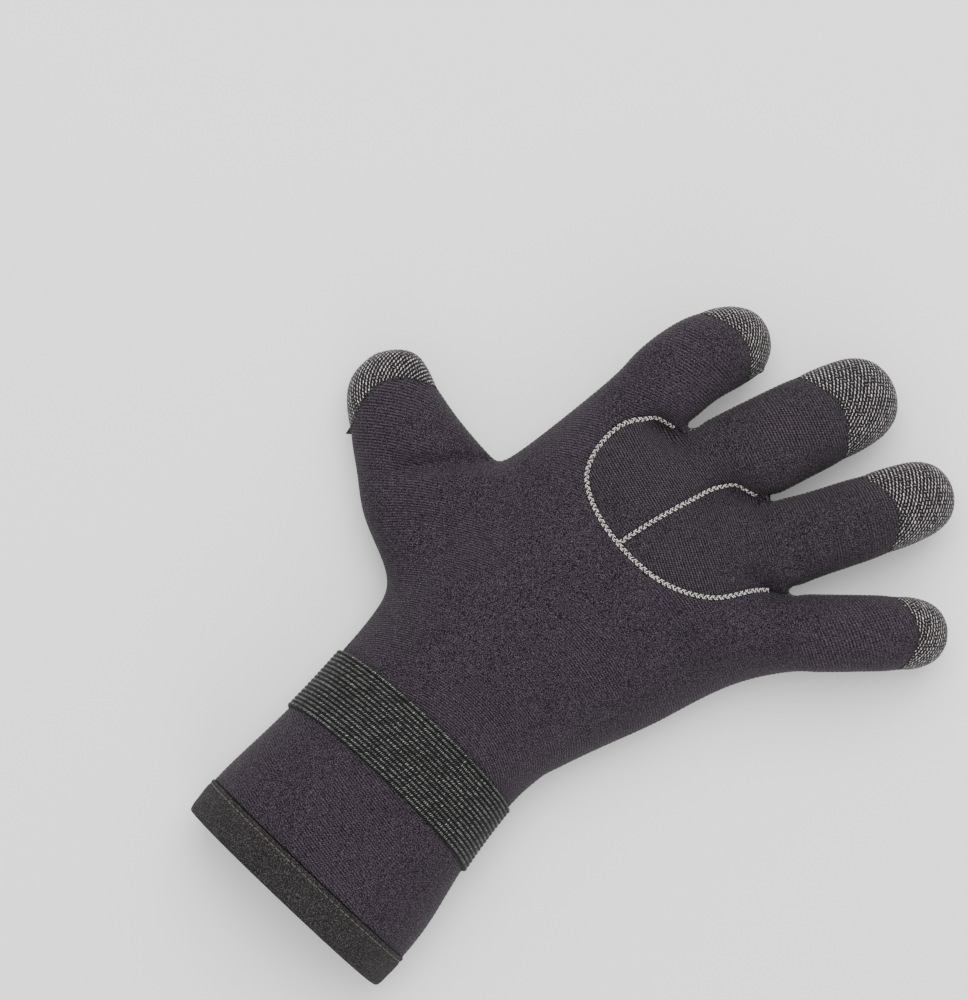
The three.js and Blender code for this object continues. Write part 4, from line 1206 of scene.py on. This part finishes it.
lay_threads("side_seam_blind_stitch", side_seams, [blind_stitch], CHAIN_STEP, BLIND_RADIUS, grey_yarn)

HEM_STITCH = 8
HEM_STITCH_SHOWS = 7
HEM_RADIUS = 0.22 * MM
HEM_STITCH_LIFT = 0.55 * MM


def hem_line():
    places = []
    for k in range(STATIONS + 1):
        turn = math.tau * k / STATIONS
        here, onward = (skin_round(HEM_TOP - 1.9, turn + step, HEM_LEAN) for step in (0, 0.02))
        below = skin_round(HEM_TOP - 6, turn, HEM_LEAN)
        up = (here - below).cross(onward - here).normalized()
        places.append((here, up))
    return places


def running_stitch(k):
    return (0, HEM_STITCH_LIFT) if k % HEM_STITCH < HEM_STITCH_SHOWS else None


lay_threads("hem_stitching", [hem_line()], [running_stitch], CHAIN_STEP, HEM_RADIUS, hem_yarn)

# Camera straight above, with the fingers pointing up and to the right as in the photo, over a pale floor
CAMERA_LENS = 180
CAMERA_TURN = 50
FRAME_HEIGHT = 0.385
SENSOR = 36
LOOK_AT = Vector((-0.04435, 0.00637, 0.018))
camera = bpy.data.objects.new("camera", bpy.data.cameras.new("camera"))
bpy.context.scene.collection.objects.link(camera)
bpy.context.scene.camera = camera
camera.data.lens = CAMERA_LENS
camera.data.sensor_width = SENSOR
camera.location = LOOK_AT + Vector((0, 0, FRAME_HEIGHT * CAMERA_LENS / SENSOR))
camera.rotation_euler = (0, 0, math.radians(CAMERA_TURN))

floor_maker = bmesh.new()
bmesh.ops.create_grid(floor_maker, x_segments=1, y_segments=1, size=6)
floor_mesh = bpy.data.meshes.new("floor")
floor_maker.to_mesh(floor_mesh)
floor = bpy.data.objects.new("floor", floor_mesh)
bpy.context.scene.collection.objects.link(floor)
paper = bpy.data.materials.new("paper")
paper.use_nodes = True
paper.node_tree.nodes["Principled BSDF"].inputs["Base Color"].default_value = (0.9, 0.9, 0.9, 1)
paper.node_tree.nodes["Principled BSDF"].inputs["Roughness"].default_value = 0.9
floor_mesh.materials.append(paper)

LIGHTS = [
    {"name": "overhead", "place": (-0.45, 0.5, 1.4), "size": 1.3, "power": 32},
    {"name": "side", "place": (1.2, -0.9, 0.8), "size": 1.0, "power": 8},
]
for light in LIGHTS:
    lamp = bpy.data.lights.new(light["name"], "AREA")
    lamp.size = light["size"]
    lamp.energy = light["power"]
    holder = bpy.data.objects.new(light["name"], lamp)
    bpy.context.scene.collection.objects.link(holder)
    holder.location = light["place"]
    holder.rotation_euler = (-Vector(light["place"])).to_track_quat("-Z", "Y").to_euler()
world = bpy.data.worlds.new("room")
bpy.context.scene.world = world
world.use_nodes = True
world.node_tree.nodes["Background"].inputs["Color"].default_value = (1, 1, 1, 1)
world.node_tree.nodes["Background"].inputs["Strength"].default_value = 1
